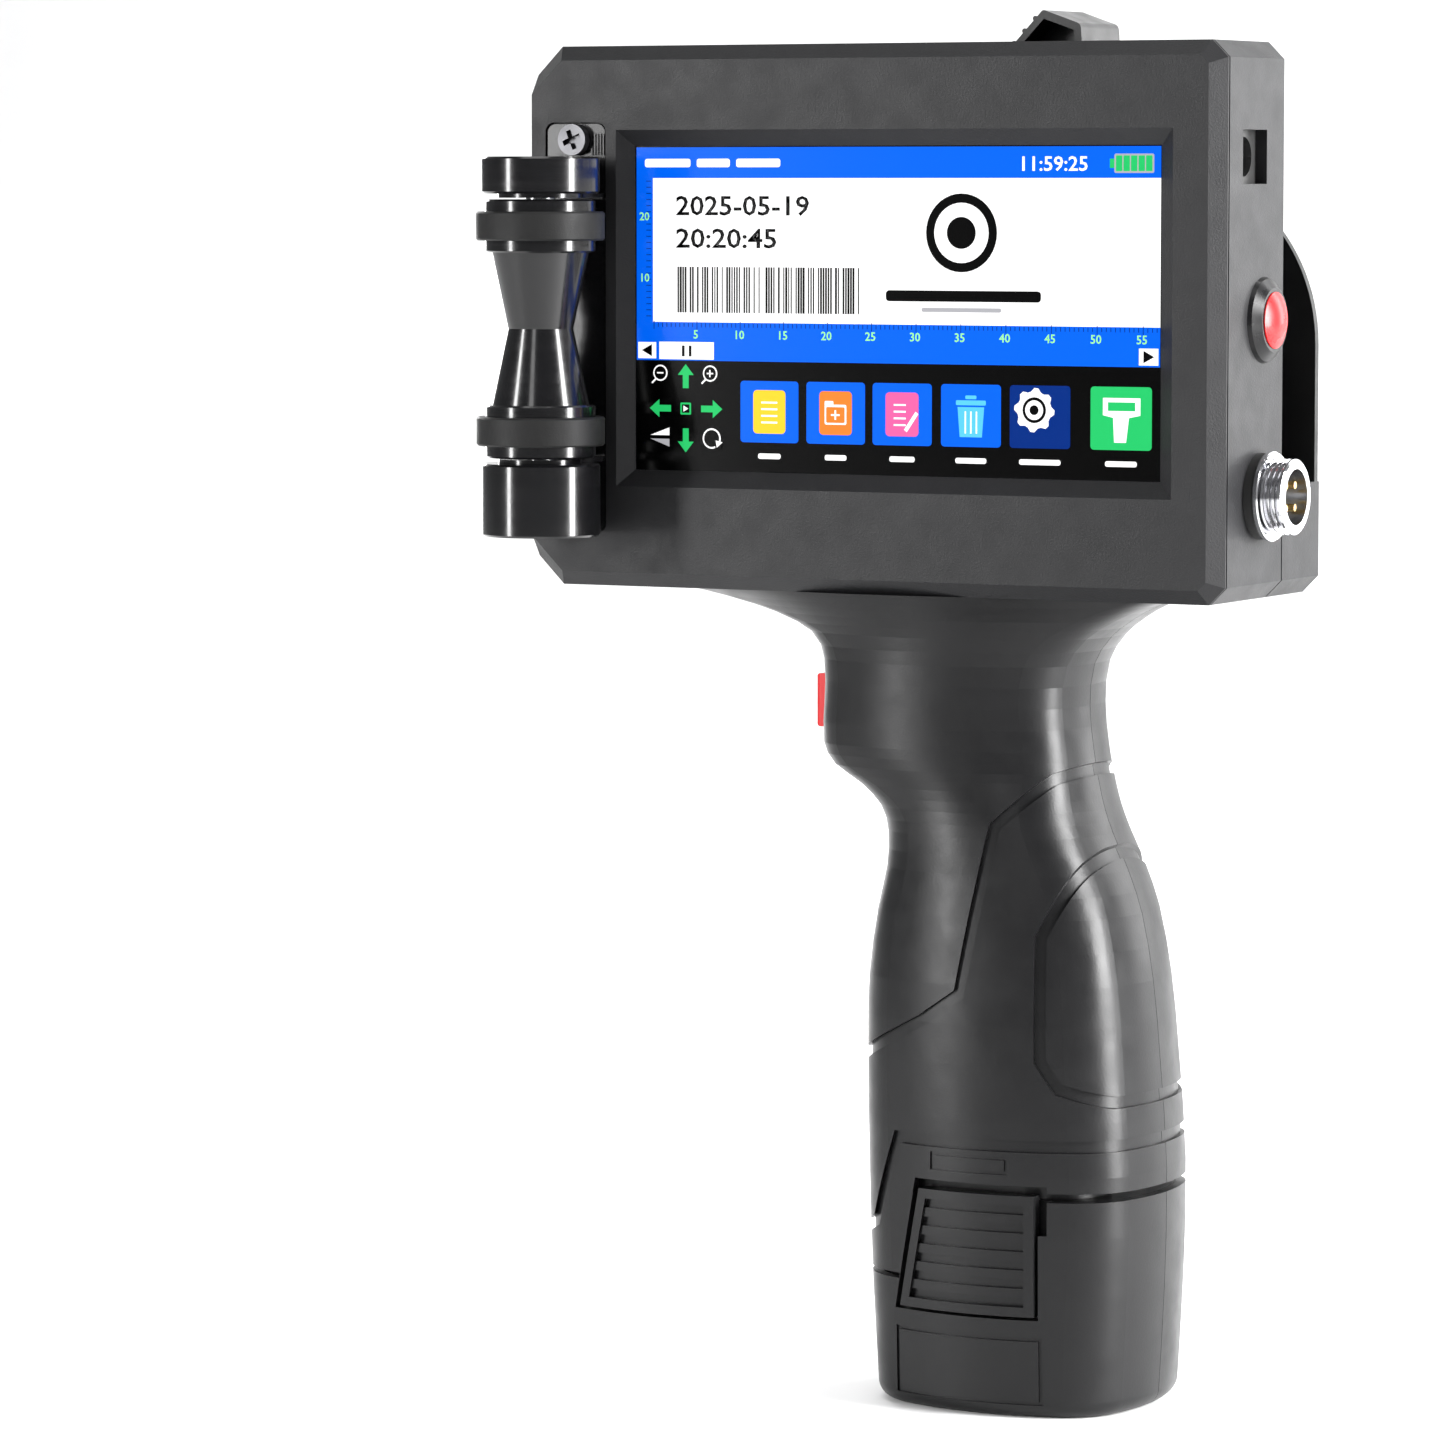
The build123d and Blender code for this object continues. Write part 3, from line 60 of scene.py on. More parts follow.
# ---------------------------------------------------------------- finishes
@dataclass(frozen=True)
class Moulding:
    """A moulded, painted or turned surface with grain, uneven gloss and slight colour drift.

    Attributes:
        name: Name of the finish.
        colour: Linear base colour.
        roughness: Mean roughness.
        metallic: 1 for bare metal.
        grain_mm: Width of one grain.
        grain_depth_mm: Height of the grain.
        drift: Share by which the colour wanders over the piece.
        gloss_drift: Amount by which the roughness wanders.
        coat: Weight of a clear coat.
        shine: Strength of the reflections, 0.5 for ordinary plastic.
        stretch: Scale of the grain along X, Y and Z, for brushed or turned marks.
    """

    name: str
    colour: Colour
    roughness: float
    metallic: float = 0.0
    grain_mm: float = 0.35
    grain_depth_mm: float = 0.02
    drift: float = 0.12
    gloss_drift: float = 0.08
    coat: float = 0.0
    shine: float = 0.5
    stretch: tuple[float, float, float] = (1.0, 1.0, 1.0)

    def material(self) -> bpy.types.Material:
        """Builds the finish once and hands the same material out again.

        Returns:
            The node material.
        """
        made = bpy.data.materials.get(self.name)
        if made is not None:
            return made
        material = bpy.data.materials.new(self.name)
        material.use_nodes = True
        tree = material.node_tree
        shader = tree.nodes["Principled BSDF"]
        shader.inputs["Metallic"].default_value = self.metallic
        shader.inputs["Specular IOR Level"].default_value = self.shine
        shader.inputs["Coat Weight"].default_value = self.coat
        shader.inputs["Coat Roughness"].default_value = 0.06
        coordinates = tree.nodes.new("ShaderNodeTexCoord")
        mapping = tree.nodes.new("ShaderNodeMapping")
        mapping.inputs["Scale"].default_value = self.stretch
        tree.links.new(coordinates.outputs["Object"], mapping.inputs["Vector"])
        grain = self._noise(tree, mapping, 1.0 / (self.grain_mm * MM), 3.0)
        drift = self._noise(tree, mapping, 45.0, 4.0)
        blotch = self._noise(tree, mapping, 190.0, 5.0)

        tint = tree.nodes.new("ShaderNodeMix")
        tint.data_type = "RGBA"
        low = tuple(channel * (1 - self.drift) for channel in self.colour)
        high = tuple(min(1.0, channel * (1 + self.drift)) for channel in self.colour)
        tint.inputs["A"].default_value = (*low, 1)
        tint.inputs["B"].default_value = (*high, 1)
        tree.links.new(drift.outputs["Fac"], tint.inputs["Factor"])
        tree.links.new(tint.outputs["Result"], shader.inputs["Base Color"])

        gloss = tree.nodes.new("ShaderNodeMapRange")
        gloss.inputs["From Min"].default_value = 0.3
        gloss.inputs["From Max"].default_value = 0.7
        gloss.inputs["To Min"].default_value = max(0.02, self.roughness - self.gloss_drift)
        gloss.inputs["To Max"].default_value = min(1.0, self.roughness + self.gloss_drift)
        tree.links.new(blotch.outputs["Fac"], gloss.inputs["Value"])
        tree.links.new(gloss.outputs["Result"], shader.inputs["Roughness"])

        bump = tree.nodes.new("ShaderNodeBump")
        bump.inputs["Strength"].default_value = 1.0
        bump.inputs["Distance"].default_value = self.grain_depth_mm * MM
        tree.links.new(grain.outputs["Fac"], bump.inputs["Height"])
        tree.links.new(bump.outputs["Normal"], shader.inputs["Normal"])
        return material

    @staticmethod
    def _noise(tree: bpy.types.NodeTree, mapping: bpy.types.Node, scale: float,
               detail: float) -> bpy.types.Node:
        """Adds a noise texture.

        Args:
            tree: Tree to add it to.
            mapping: Node that gives its coordinates.
            scale: Features per metre.
            detail: Octaves.

        Returns:
            The noise node.
        """
        noise = tree.nodes.new("ShaderNodeTexNoise")
        noise.inputs["Scale"].default_value = scale
        noise.inputs["Detail"].default_value = detail
        tree.links.new(mapping.outputs["Vector"], noise.inputs["Vector"])
        return noise


@dataclass(frozen=True)
class Lit:
    """A lit area of the display picture, with the faint grid of its cells.

    Attributes:
        name: Name of the finish.
        colour: Colour shown.
        strength: Brightness.
        unlit: Share of the colour that shows without the light.
        cells: Cells per metre.
        cell_edge: Share of the light between two cells.
    """

    name: str
    colour: Colour
    strength: float = 0.9
    unlit: float = 0.25
    cells: float = 5000.0
    cell_edge: float = 0.9

    def material(self) -> bpy.types.Material:
        """Builds the finish once and hands the same material out again.

        Returns:
            The node material.
        """
        made = bpy.data.materials.get(self.name)
        if made is not None:
            return made
        material = bpy.data.materials.new(self.name)
        material.use_nodes = True
        tree = material.node_tree
        shader = tree.nodes["Principled BSDF"]
        shader.inputs["Base Color"].default_value = (*(self.unlit * channel for channel in self.colour), 1)
        shader.inputs["Roughness"].default_value = 0.12
        shader.inputs["Specular IOR Level"].default_value = 0.2
        coordinates = tree.nodes.new("ShaderNodeTexCoord")
        cells = tree.nodes.new("ShaderNodeTexVoronoi")
        cells.inputs["Scale"].default_value = self.cells
        cells.inputs["Randomness"].default_value = 0.0
        tree.links.new(coordinates.outputs["Object"], cells.inputs["Vector"])
        glow = tree.nodes.new("ShaderNodeMix")
        glow.data_type = "RGBA"
        glow.inputs["A"].default_value = (*self.colour, 1)
        glow.inputs["B"].default_value = (*(self.cell_edge * channel for channel in self.colour), 1)
        tree.links.new(cells.outputs["Distance"], glow.inputs["Factor"])
        tree.links.new(glow.outputs["Result"], shader.inputs["Emission Color"])
        shader.inputs["Emission Strength"].default_value = self.strength
        return material


class Finishes:
    """Every finish on the printer, by what it is used for."""

    housing = Moulding("housing_charcoal", (0.012, 0.012, 0.013), 0.44, grain_mm=0.3, grain_depth_mm=0.04,
                       gloss_drift=0.05, shine=0.24)
    grip = Moulding("grip_charcoal", (0.007, 0.007, 0.0075), 0.34, grain_mm=0.45, grain_depth_mm=0.012,
                    gloss_drift=0.05, shine=0.26)
    cover = Moulding("cover_black", (0.006, 0.006, 0.0062), 0.4, grain_mm=0.3, grain_depth_mm=0.02,
                     shine=0.25)
    roller = Moulding("roller_gloss_black", (0.004, 0.004, 0.0045), 0.2, grain_mm=0.5,
                      grain_depth_mm=0.003, gloss_drift=0.04, coat=0.3, shine=0.35,
                      stretch=(0.2, 0.2, 4.0))
    tyre = Moulding("tyre_rubber", (0.007, 0.007, 0.007), 0.55, grain_mm=0.25, grain_depth_mm=0.03,
                    shine=0.25)
    screw = Moulding("screw_black_oxide", (0.09, 0.09, 0.095), 0.34, metallic=0.9, grain_mm=0.2,
                     grain_depth_mm=0.004)
    steel = Moulding("turned_steel", (0.55, 0.55, 0.56), 0.28, metallic=1.0, grain_mm=0.2,
                     grain_depth_mm=0.004, stretch=(4.0, 0.3, 0.3))
    chrome = Moulding("connector_chrome", (0.72, 0.72, 0.74), 0.14, metallic=1.0, grain_mm=0.4,
                      grain_depth_mm=0.002, drift=0.05, gloss_drift=0.05)
    gasket = Moulding("gasket_rubber", (0.014, 0.014, 0.014), 0.55, grain_mm=0.3, grain_depth_mm=0.02)
    ring = Moulding("button_ring_black", (0.006, 0.006, 0.0065), 0.3, grain_mm=0.6,
                    grain_depth_mm=0.004, shine=0.2)
    red = Moulding("button_red", (0.55, 0.008, 0.01), 0.32, grain_mm=0.8, grain_depth_mm=0.004,
                   drift=0.08, shine=0.3)
    socket = Moulding("socket_black", (0.01, 0.01, 0.01), 0.48, grain_mm=0.4, grain_depth_mm=0.01)
    gold = Moulding("gold_plate", (0.83, 0.6, 0.25), 0.25, metallic=1.0, grain_mm=0.2, grain_depth_mm=0.002)
    glass = Moulding("display_glass_black", (0.002, 0.002, 0.0025), 0.12, grain_mm=1.5,
                     grain_depth_mm=0.001, gloss_drift=0.03, shine=0.2)
    board = Moulding("board_green", (0.012, 0.09, 0.035), 0.35, grain_mm=0.5, grain_depth_mm=0.01)
    display = Moulding("display_back", (0.3, 0.3, 0.31), 0.4, metallic=0.6, grain_mm=0.3,
                       grain_depth_mm=0.005)
    ink = Moulding("cartridge_black", (0.012, 0.012, 0.0125), 0.36, grain_mm=0.5, grain_depth_mm=0.012,
                   shine=0.35)
    foam = Moulding("ink_foam", (0.03, 0.03, 0.05), 0.9, grain_mm=0.6, grain_depth_mm=0.2)
    cell = Moulding("cell_wrap", (0.02, 0.12, 0.4), 0.3, grain_mm=0.6, grain_depth_mm=0.004, coat=0.3)
    bush = Moulding("bush_natural", (0.6, 0.58, 0.52), 0.45, grain_mm=0.4, grain_depth_mm=0.01)
    floor = Moulding("studio_floor", (0.86, 0.86, 0.86), 0.75, grain_mm=3.0, grain_depth_mm=0.02, drift=0.01)

    white = Lit("picture_white", (1.0, 1.0, 1.0), 1.0)
    blue = Lit("picture_blue", (0.0, 0.12, 0.85), 0.95)
    dark_blue = Lit("picture_dark_blue", (0.0, 0.03, 0.25), 0.7)
    black = Lit("picture_black", (0.0, 0.0, 0.0), 0.0)
    green = Lit("picture_green", (0.02, 0.55, 0.14), 0.9)
    lime = Lit("picture_lime", (0.35, 0.95, 0.3), 0.9)
    yellow = Lit("picture_yellow", (0.95, 0.6, 0.03), 0.95)
    orange = Lit("picture_orange", (0.9, 0.22, 0.03), 0.95)
    pink = Lit("picture_pink", (0.85, 0.12, 0.35), 0.95)
    sky = Lit("picture_sky", (0.1, 0.55, 0.95), 0.95)
    grey = Lit("picture_grey", (0.45, 0.45, 0.48), 0.8)


FINISH_OF_NODE: dict[str, Moulding] = {
    **dict.fromkeys(("front_bezel", "front_housing", "rear_housing"), Finishes.housing),
    "bay_back_cover": Finishes.cover,
    **dict.fromkeys(("housing_screws", "cover_screws", "bracket_screw", "grip_screws", "neck_screws"),
                    Finishes.screw),
    "touch_glass": Finishes.glass,
    "lcd_module": Finishes.display,
    **dict.fromkeys(("main_board", "battery_board"), Finishes.board),
    **dict.fromkeys(("board_chips", "dc_jack", "contact_block", "trigger_switch", "grip_terminals",
                     "connector_insert"), Finishes.socket),
    **dict.fromkeys(("side_button_spring", "trigger_spring", "latch_spring_front", "latch_spring_rear",
                     "roller_axle", "button_nut", "connector_nut", "nozzle_plate"), Finishes.steel),
    **dict.fromkeys(("connector_shell", "dc_jack_pin"), Finishes.chrome),
    **dict.fromkeys(("connector_pins", "contact_pins", "cartridge_contacts", "battery_terminals"),
                    Finishes.gold),
    "connector_gasket": Finishes.gasket,
    **dict.fromkeys(("roller_tyre_lower", "roller_tyre_upper"), Finishes.tyre),
    "button_ring": Finishes.ring,
    **dict.fromkeys(("side_button_cap", "trigger_button"), Finishes.red),
    **dict.fromkeys(("roller_bracket", "roller_lower_cap", "roller_upper_cap", "roller_body"),
                    Finishes.roller),
    "roller_bushes": Finishes.bush,
    **dict.fromkeys(("grip_front_shell", "grip_rear_shell", "battery_front_case", "battery_rear_case",
                     "battery_tower", "battery_latch_front", "battery_latch_rear"), Finishes.grip),
    **dict.fromkeys(("cartridge_shell", "cartridge_lid", "cartridge_handle"), Finishes.ink),
    "ink_foam": Finishes.foam,
    "battery_cells": Finishes.cell,
}


def dress_frame() -> None:
    """Gives every CAD node its finish through its object's material slots."""
    for name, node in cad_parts.items():
        finish = FINISH_OF_NODE[name]
        for slot in node.material_slots:
            slot.link = "OBJECT"
            slot.material = finish.material()
        log.info("%s dressed in %s", name, finish.name)


# ---------------------------------------------------------------- flat pieces on the display
def mesh_object(name: str, builder: bmesh.types.BMesh, finish: Lit | Moulding) -> bpy.types.Object:
    """Turns a built mesh into an object in the scene.

    Args:
        name: Name of the piece.
        builder: Mesh to use, freed afterwards.
        finish: Finish of every face.

    Returns:
        The new object, at the origin.
    """
    bmesh.ops.recalc_face_normals(builder, faces=builder.faces)
    mesh = bpy.data.meshes.new(name)
    builder.to_mesh(mesh)
    builder.free()
    mesh.materials.append(finish.material())
    piece = bpy.data.objects.new(name, mesh)
    bpy.context.scene.collection.objects.link(piece)
    return piece


class Justify(Enum):
    """Where a line of numerals is held."""

    LEFT = "LEFT"
    CENTER = "CENTER"


@dataclass
class Picture:
    """The picture on the display: thin films just in front of the glass, in layers.

    Places on it are millimetres right of and below the picture's top left corner.

    Attributes:
        width: Width of the lit area.
        height: Height of the lit area.
        film: Thickness of a film and the step between layers.
        solid: Share of that step that is film.
        margin: Clear glass round the picture.
        pieces: Meshes under construction, by colour and layer.
    """

    width: float = 95.6
    height: float = 53.6
    film: float = 0.03
    solid: float = 0.9
    margin: float = 3.2
    pieces: dict[tuple[str, int], tuple[Lit, bmesh.types.BMesh]] = field(default_factory=dict)

    def __post_init__(self) -> None:
        """Reads the glass's place from the frame."""
        low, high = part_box("touch_glass")
        self.glass_y = low[1]
        self.left = low[0] + self.margin * MM
        self.top = high[2] - self.margin * MM
        self.thickness = self.film * MM * self.solid

    def place(self, right: float, down: float, layer: int) -> Vector:
        """Point on the front of a layer.

        Args:
            right: Millimetres from the left edge.
            down: Millimetres from the top edge.
            layer: Layer number, 0 on the glass.

        Returns:
            The point in metres.
        """
        return Vector((self.left + right * MM, self.glass_y - (layer + 1) * self.film * MM,
                       self.top - down * MM))

    def _sheet(self, finish: Lit, layer: int) -> bmesh.types.BMesh:
        """Mesh that collects one colour of one layer.

        Args:
            finish: Colour.
            layer: Layer number.

        Returns:
            The mesh under construction.
        """
        key = (finish.name, layer)
        if key not in self.pieces:
            self.pieces[key] = (finish, bmesh.new())
        return self.pieces[key][1]

    def outline(self, points: list[Point2], finish: Lit, layer: int = 1) -> None:
        """Adds a film with a polygon outline.

        Args:
            points: Corners in order, (right, down).
            finish: Colour.
            layer: Layer number.
        """
        builder = self._sheet(finish, layer)
        depth = Vector((0, self.thickness, 0))
        front = [builder.verts.new(self.place(*point, layer)) for point in points]
        back = [builder.verts.new(vertex.co + depth) for vertex in front]
        count = len(points)
        builder.faces.new(front)
        builder.faces.new(back[::-1])
        for index in range(count):
            after = (index + 1) % count
            builder.faces.new((front[index], back[index], back[after], front[after]))

    def box(self, left: float, top: float, right: float, bottom: float, finish: Lit, layer: int = 1,
            radius: float = 0.0) -> None:
        """Adds a rectangle, with round corners if it has a radius.

        Args:
            left: Left edge.
            top: Top edge.
            right: Right edge.
            bottom: Bottom edge.
            finish: Colour.
            layer: Layer number.
            radius: Corner radius.
        """
        if radius <= 0:
            self.outline([(left, top), (right, top), (right, bottom), (left, bottom)], finish, layer)
            return
        points = []
        corners = ((right - radius, top + radius, -90), (right - radius, bottom - radius, 0),
                   (left + radius, bottom - radius, 90), (left + radius, top + radius, 180))
        for x, y, start in corners:
            for step in range(CORNER_STEPS + 1):
                angle = math.radians(start + 90 * step / CORNER_STEPS)
                points.append((x + radius * math.cos(angle), y + radius * math.sin(angle)))
        self.outline(points, finish, layer)

    def disc(self, x: float, y: float, radius: float, finish: Lit, layer: int = 1, sides: int = 28,
             teeth: float = 0.0) -> None:
        """Adds a disc, or a wheel with a tooth for every four corners.

        Args:
            x: Centre, right.
            y: Centre, down.
            radius: Outer radius.
            finish: Colour.
            layer: Layer number.
            sides: Corners round it.
            teeth: Depth of the teeth.
        """
        points = []
        for step in range(sides):
            angle = 2 * math.pi * step / sides
            reach = radius - (teeth if step % 4 in (2, 3) else 0.0)
            points.append((x + reach * math.cos(angle), y + reach * math.sin(angle)))
        self.outline(points, finish, layer)

    def arrow(self, x: float, y: float, turn: float, finish: Lit, size: float = 1.0) -> None:
        """Adds an arrow.

        Args:
            x: Centre, right.
            y: Centre, down.
            turn: Degrees from pointing up, clockwise.
            finish: Colour.
            size: Scale.
        """
        right_half = [(1.5, -0.3), (0.55, -0.3), (0.55, 1.9)]
        shape = [(0, -2.1)] + right_half + [(-across, along) for across, along in right_half[::-1]]
        angle = math.radians(turn)
        sine, cosine = math.sin(angle), math.cos(angle)
        turned = [(x + size * (across * cosine - along * sine), y + size * (across * sine + along * cosine))
                  for across, along in shape]
        self.outline(turned, finish, 2)

    def numerals(self, text: str, x: float, y: float, size: float, finish: Lit, layer: int = 3,
                 hold: Justify = Justify.LEFT, squeeze: float = 1.0) -> None:
        """Adds a line of numerals.

        Args:
            text: Digits and marks.
            x: Held point, right.
            y: Baseline, down.
            size: Letter height scale.
            finish: Colour.
            layer: Layer number.
            hold: Which end is held.
            squeeze: Width scale.
        """
        curve = bpy.data.curves.new("numerals", "FONT")
        curve.body = text
        curve.size = size * MM
        curve.align_x = hold.value
        curve.resolution_u = 2
        curve.offset = NUMERAL_BOLDNESS * size * MM
        holder = bpy.data.objects.new("numerals", curve)
        bpy.context.scene.collection.objects.link(holder)
        bpy.context.view_layer.update()
        flat = bpy.data.meshes.new_from_object(holder.evaluated_get(bpy.context.evaluated_depsgraph_get()))
        bpy.data.objects.remove(holder)
        origin = self.place(x, y, layer)
        glyphs = bmesh.new()
        glyphs.from_mesh(flat)
        bmesh.ops.remove_doubles(glyphs, verts=glyphs.verts, dist=1e-7)
        for vertex in glyphs.verts:
            vertex.co = origin + Vector((vertex.co.x * squeeze, 0, vertex.co.y))
        solid = bmesh.ops.extrude_face_region(glyphs, geom=list(glyphs.faces), use_keep_orig=True)
        for element in solid["geom"]:
            if isinstance(element, bmesh.types.BMVert):
                element.co.y += self.thickness
        bmesh.ops.recalc_face_normals(glyphs, faces=glyphs.faces)
        carrier = bpy.data.meshes.new("carrier")
        glyphs.to_mesh(carrier)
        glyphs.free()
        self._sheet(finish, layer).from_mesh(carrier)
        bpy.data.meshes.remove(carrier)
        bpy.data.meshes.remove(flat)

    def hand_over(self) -> None:
        """Makes one object for each colour of each layer, riding on the housing."""
        for (name, layer), (finish, builder) in self.pieces.items():
            piece = mesh_object(f"{name}_{layer}", builder, finish)
            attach(piece, "housing")
            log.info("%s with %d faces", piece.name, len(piece.data.polygons))


@dataclass
class RepeatedMarks:
    """A row of upright marks on the display made by geometry nodes: ruler ticks or a bar pattern.

    Attributes:
        name: Name of the piece.
        start: First mark, (right, down), at its middle.
        run: Step from mark to mark, (right, down).
        count: Number of marks.
        size: Least (width, height) of a mark.
        spread: Extra width at random, as a share of the width.
        missing: Share of marks left out at random.
        long_every: Every so many marks one is twice as long; 0 for none.
        layer: Layer number.
        seed: Seed of the random choices.
    """

    name: str
    start: Point2
    run: Point2
    count: int
    size: Point2
    spread: float = 0.0
    missing: float = 0.0
    long_every: int = 0
    layer: int = 2
    seed: int = 5

    @staticmethod
    def _maths(tree: bpy.types.NodeTree, operation: str,
               *values: bpy.types.NodeSocket | float) -> bpy.types.NodeSocket:
        """Adds a maths node.

        Args:
            tree: Tree to add it to.
            operation: What it works out.
            values: What goes into it, each a socket or a number.

        Returns:
            The socket with its result.
        """
        node = tree.nodes.new("ShaderNodeMath")
        node.operation = operation
        for socket, value in zip(node.inputs, values):
            if isinstance(value, bpy.types.NodeSocket):
                tree.links.new(value, socket)
            else:
                socket.default_value = value
        return node.outputs[0]

    def _scale(self, tree: bpy.types.NodeTree, given: bpy.types.NodeOutputs) -> bpy.types.NodeSocket:
        """Adds the nodes that widen marks at random and lengthen every so many.

        Args:
            tree: Tree to add them to.
            given: The tree's inputs.

        Returns:
            The socket with each mark's scale.
        """
        wide = tree.nodes.new("FunctionNodeRandomValue")
        wide.data_type = "FLOAT"
        wide.inputs["Min"].default_value = 1.0
        widest = next(s for s in wide.inputs if s.name == "Max" and s.type == "VALUE")
        tree.links.new(self._maths(tree, "ADD", given["Spread"], 1.0), widest)
        tree.links.new(given["Seed"], wide.inputs["Seed"])
        index = tree.nodes.new("GeometryNodeInputIndex").outputs[0]
        past_long = self._maths(tree, "MODULO", index, given["Long Every"])
        is_long = self._maths(tree, "LESS_THAN", past_long, 0.5)
        has_long = self._maths(tree, "GREATER_THAN", given["Long Every"], 0.5)
        length = self._maths(tree, "MULTIPLY_ADD", is_long, has_long, 1.0)
        shape = tree.nodes.new("ShaderNodeCombineXYZ")
        tree.links.new(next(s for s in wide.outputs if s.type == "VALUE" and s.enabled), shape.inputs["X"])
        shape.inputs["Y"].default_value = 1.0
        tree.links.new(length, shape.inputs["Z"])
        return shape.outputs[0]

    @staticmethod
    def _places(tree: bpy.types.NodeTree, given: bpy.types.NodeOutputs) -> bpy.types.NodeSocket:
        """Adds the nodes that set out the marks' places and leave some out at random.

        Args:
            tree: Tree to add them to.
            given: The tree's inputs.

        Returns:
            The socket with the points.
        """
        line = tree.nodes.new("GeometryNodeMeshLine")
        line.mode = "OFFSET"
        tree.links.new(given["Count"], line.inputs["Count"])
        tree.links.new(given["Start"], line.inputs["Start Location"])
        tree.links.new(given["Step"], line.inputs["Offset"])
        gap = tree.nodes.new("FunctionNodeRandomValue")
        gap.data_type = "BOOLEAN"
        tree.links.new(given["Missing"], gap.inputs["Probability"])
        tree.links.new(given["Seed"], gap.inputs["Seed"])
        drop = tree.nodes.new("GeometryNodeDeleteGeometry")
        drop.domain = "POINT"
        tree.links.new(line.outputs["Mesh"], drop.inputs["Geometry"])
        tree.links.new(next(s for s in gap.outputs if s.type == "BOOLEAN"), drop.inputs["Selection"])
        return drop.outputs["Geometry"]

    def tree(self, material: bpy.types.Material) -> bpy.types.NodeTree:
        """Builds the node tree with its named inputs.

        Args:
            material: Material set on the marks.

        Returns:
            The geometry node tree.
        """
        tree = bpy.data.node_groups.new(f"{self.name}_tree", "GeometryNodeTree")
        tree.interface.new_socket("Geometry", in_out="OUTPUT", socket_type="NodeSocketGeometry")
        for label, kind in (("Count", "NodeSocketInt"), ("Start", "NodeSocketVector"),
                            ("Step", "NodeSocketVector"), ("Mark Size", "NodeSocketVector"),
                            ("Spread", "NodeSocketFloat"), ("Missing", "NodeSocketFloat"),
                            ("Long Every", "NodeSocketInt"), ("Seed", "NodeSocketInt")):
            tree.interface.new_socket(label, in_out="INPUT", socket_type=kind)
        given = tree.nodes.new("NodeGroupInput").outputs
        mark = tree.nodes.new("GeometryNodeMeshCube")
        tree.links.new(given["Mark Size"], mark.inputs["Size"])
        spots = tree.nodes.new("GeometryNodeInstanceOnPoints")
        tree.links.new(self._places(tree, given), spots.inputs["Points"])
        tree.links.new(mark.outputs["Mesh"], spots.inputs["Instance"])
        tree.links.new(self._scale(tree, given), spots.inputs["Scale"])
        real = tree.nodes.new("GeometryNodeRealizeInstances")
        tree.links.new(spots.outputs["Instances"], real.inputs["Geometry"])
        paint = tree.nodes.new("GeometryNodeSetMaterial")
        paint.inputs["Material"].default_value = material
        tree.links.new(real.outputs["Geometry"], paint.inputs["Geometry"])
        tree.links.new(paint.outputs["Geometry"], tree.nodes.new("NodeGroupOutput").inputs["Geometry"])
        return tree

    def make(self, picture: Picture, finish: Lit) -> None:
        """Runs the tree, keeps its result as a plain mesh and puts it on the housing.

        Args:
            picture: Display picture the marks belong to.
            finish: Colour.
        """
        carrier = bpy.data.objects.new(self.name, bpy.data.meshes.new(self.name))
        bpy.context.scene.collection.objects.link(carrier)
        modifier = carrier.modifiers.new("marks", "NODES")
        modifier.node_group = self.tree(finish.material())
        start = picture.place(*self.start, self.layer)
        start.y += picture.thickness / 2
        values = {"Count": self.count, "Start": start[:], "Step": (self.run[0] * MM, 0.0, -self.run[1] * MM),
                  "Mark Size": (self.size[0] * MM, picture.thickness, self.size[1] * MM),
                  "Spread": self.spread, "Missing": self.missing, "Long Every": self.long_every,
                  "Seed": self.seed}
        for socket in modifier.node_group.interface.items_tree:
            if socket.name in values:
                modifier[socket.identifier] = values[socket.name]
        carrier.update_tag()
        bpy.context.view_layer.update()
        evaluated = carrier.evaluated_get(bpy.context.evaluated_depsgraph_get())
        plain = bpy.data.meshes.new_from_object(evaluated)
        plain.name = self.name
        carrier.modifiers.remove(modifier)
        carrier.data = plain
        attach(carrier, "housing")
        log.info("%s with %d faces", self.name, len(plain.polygons))


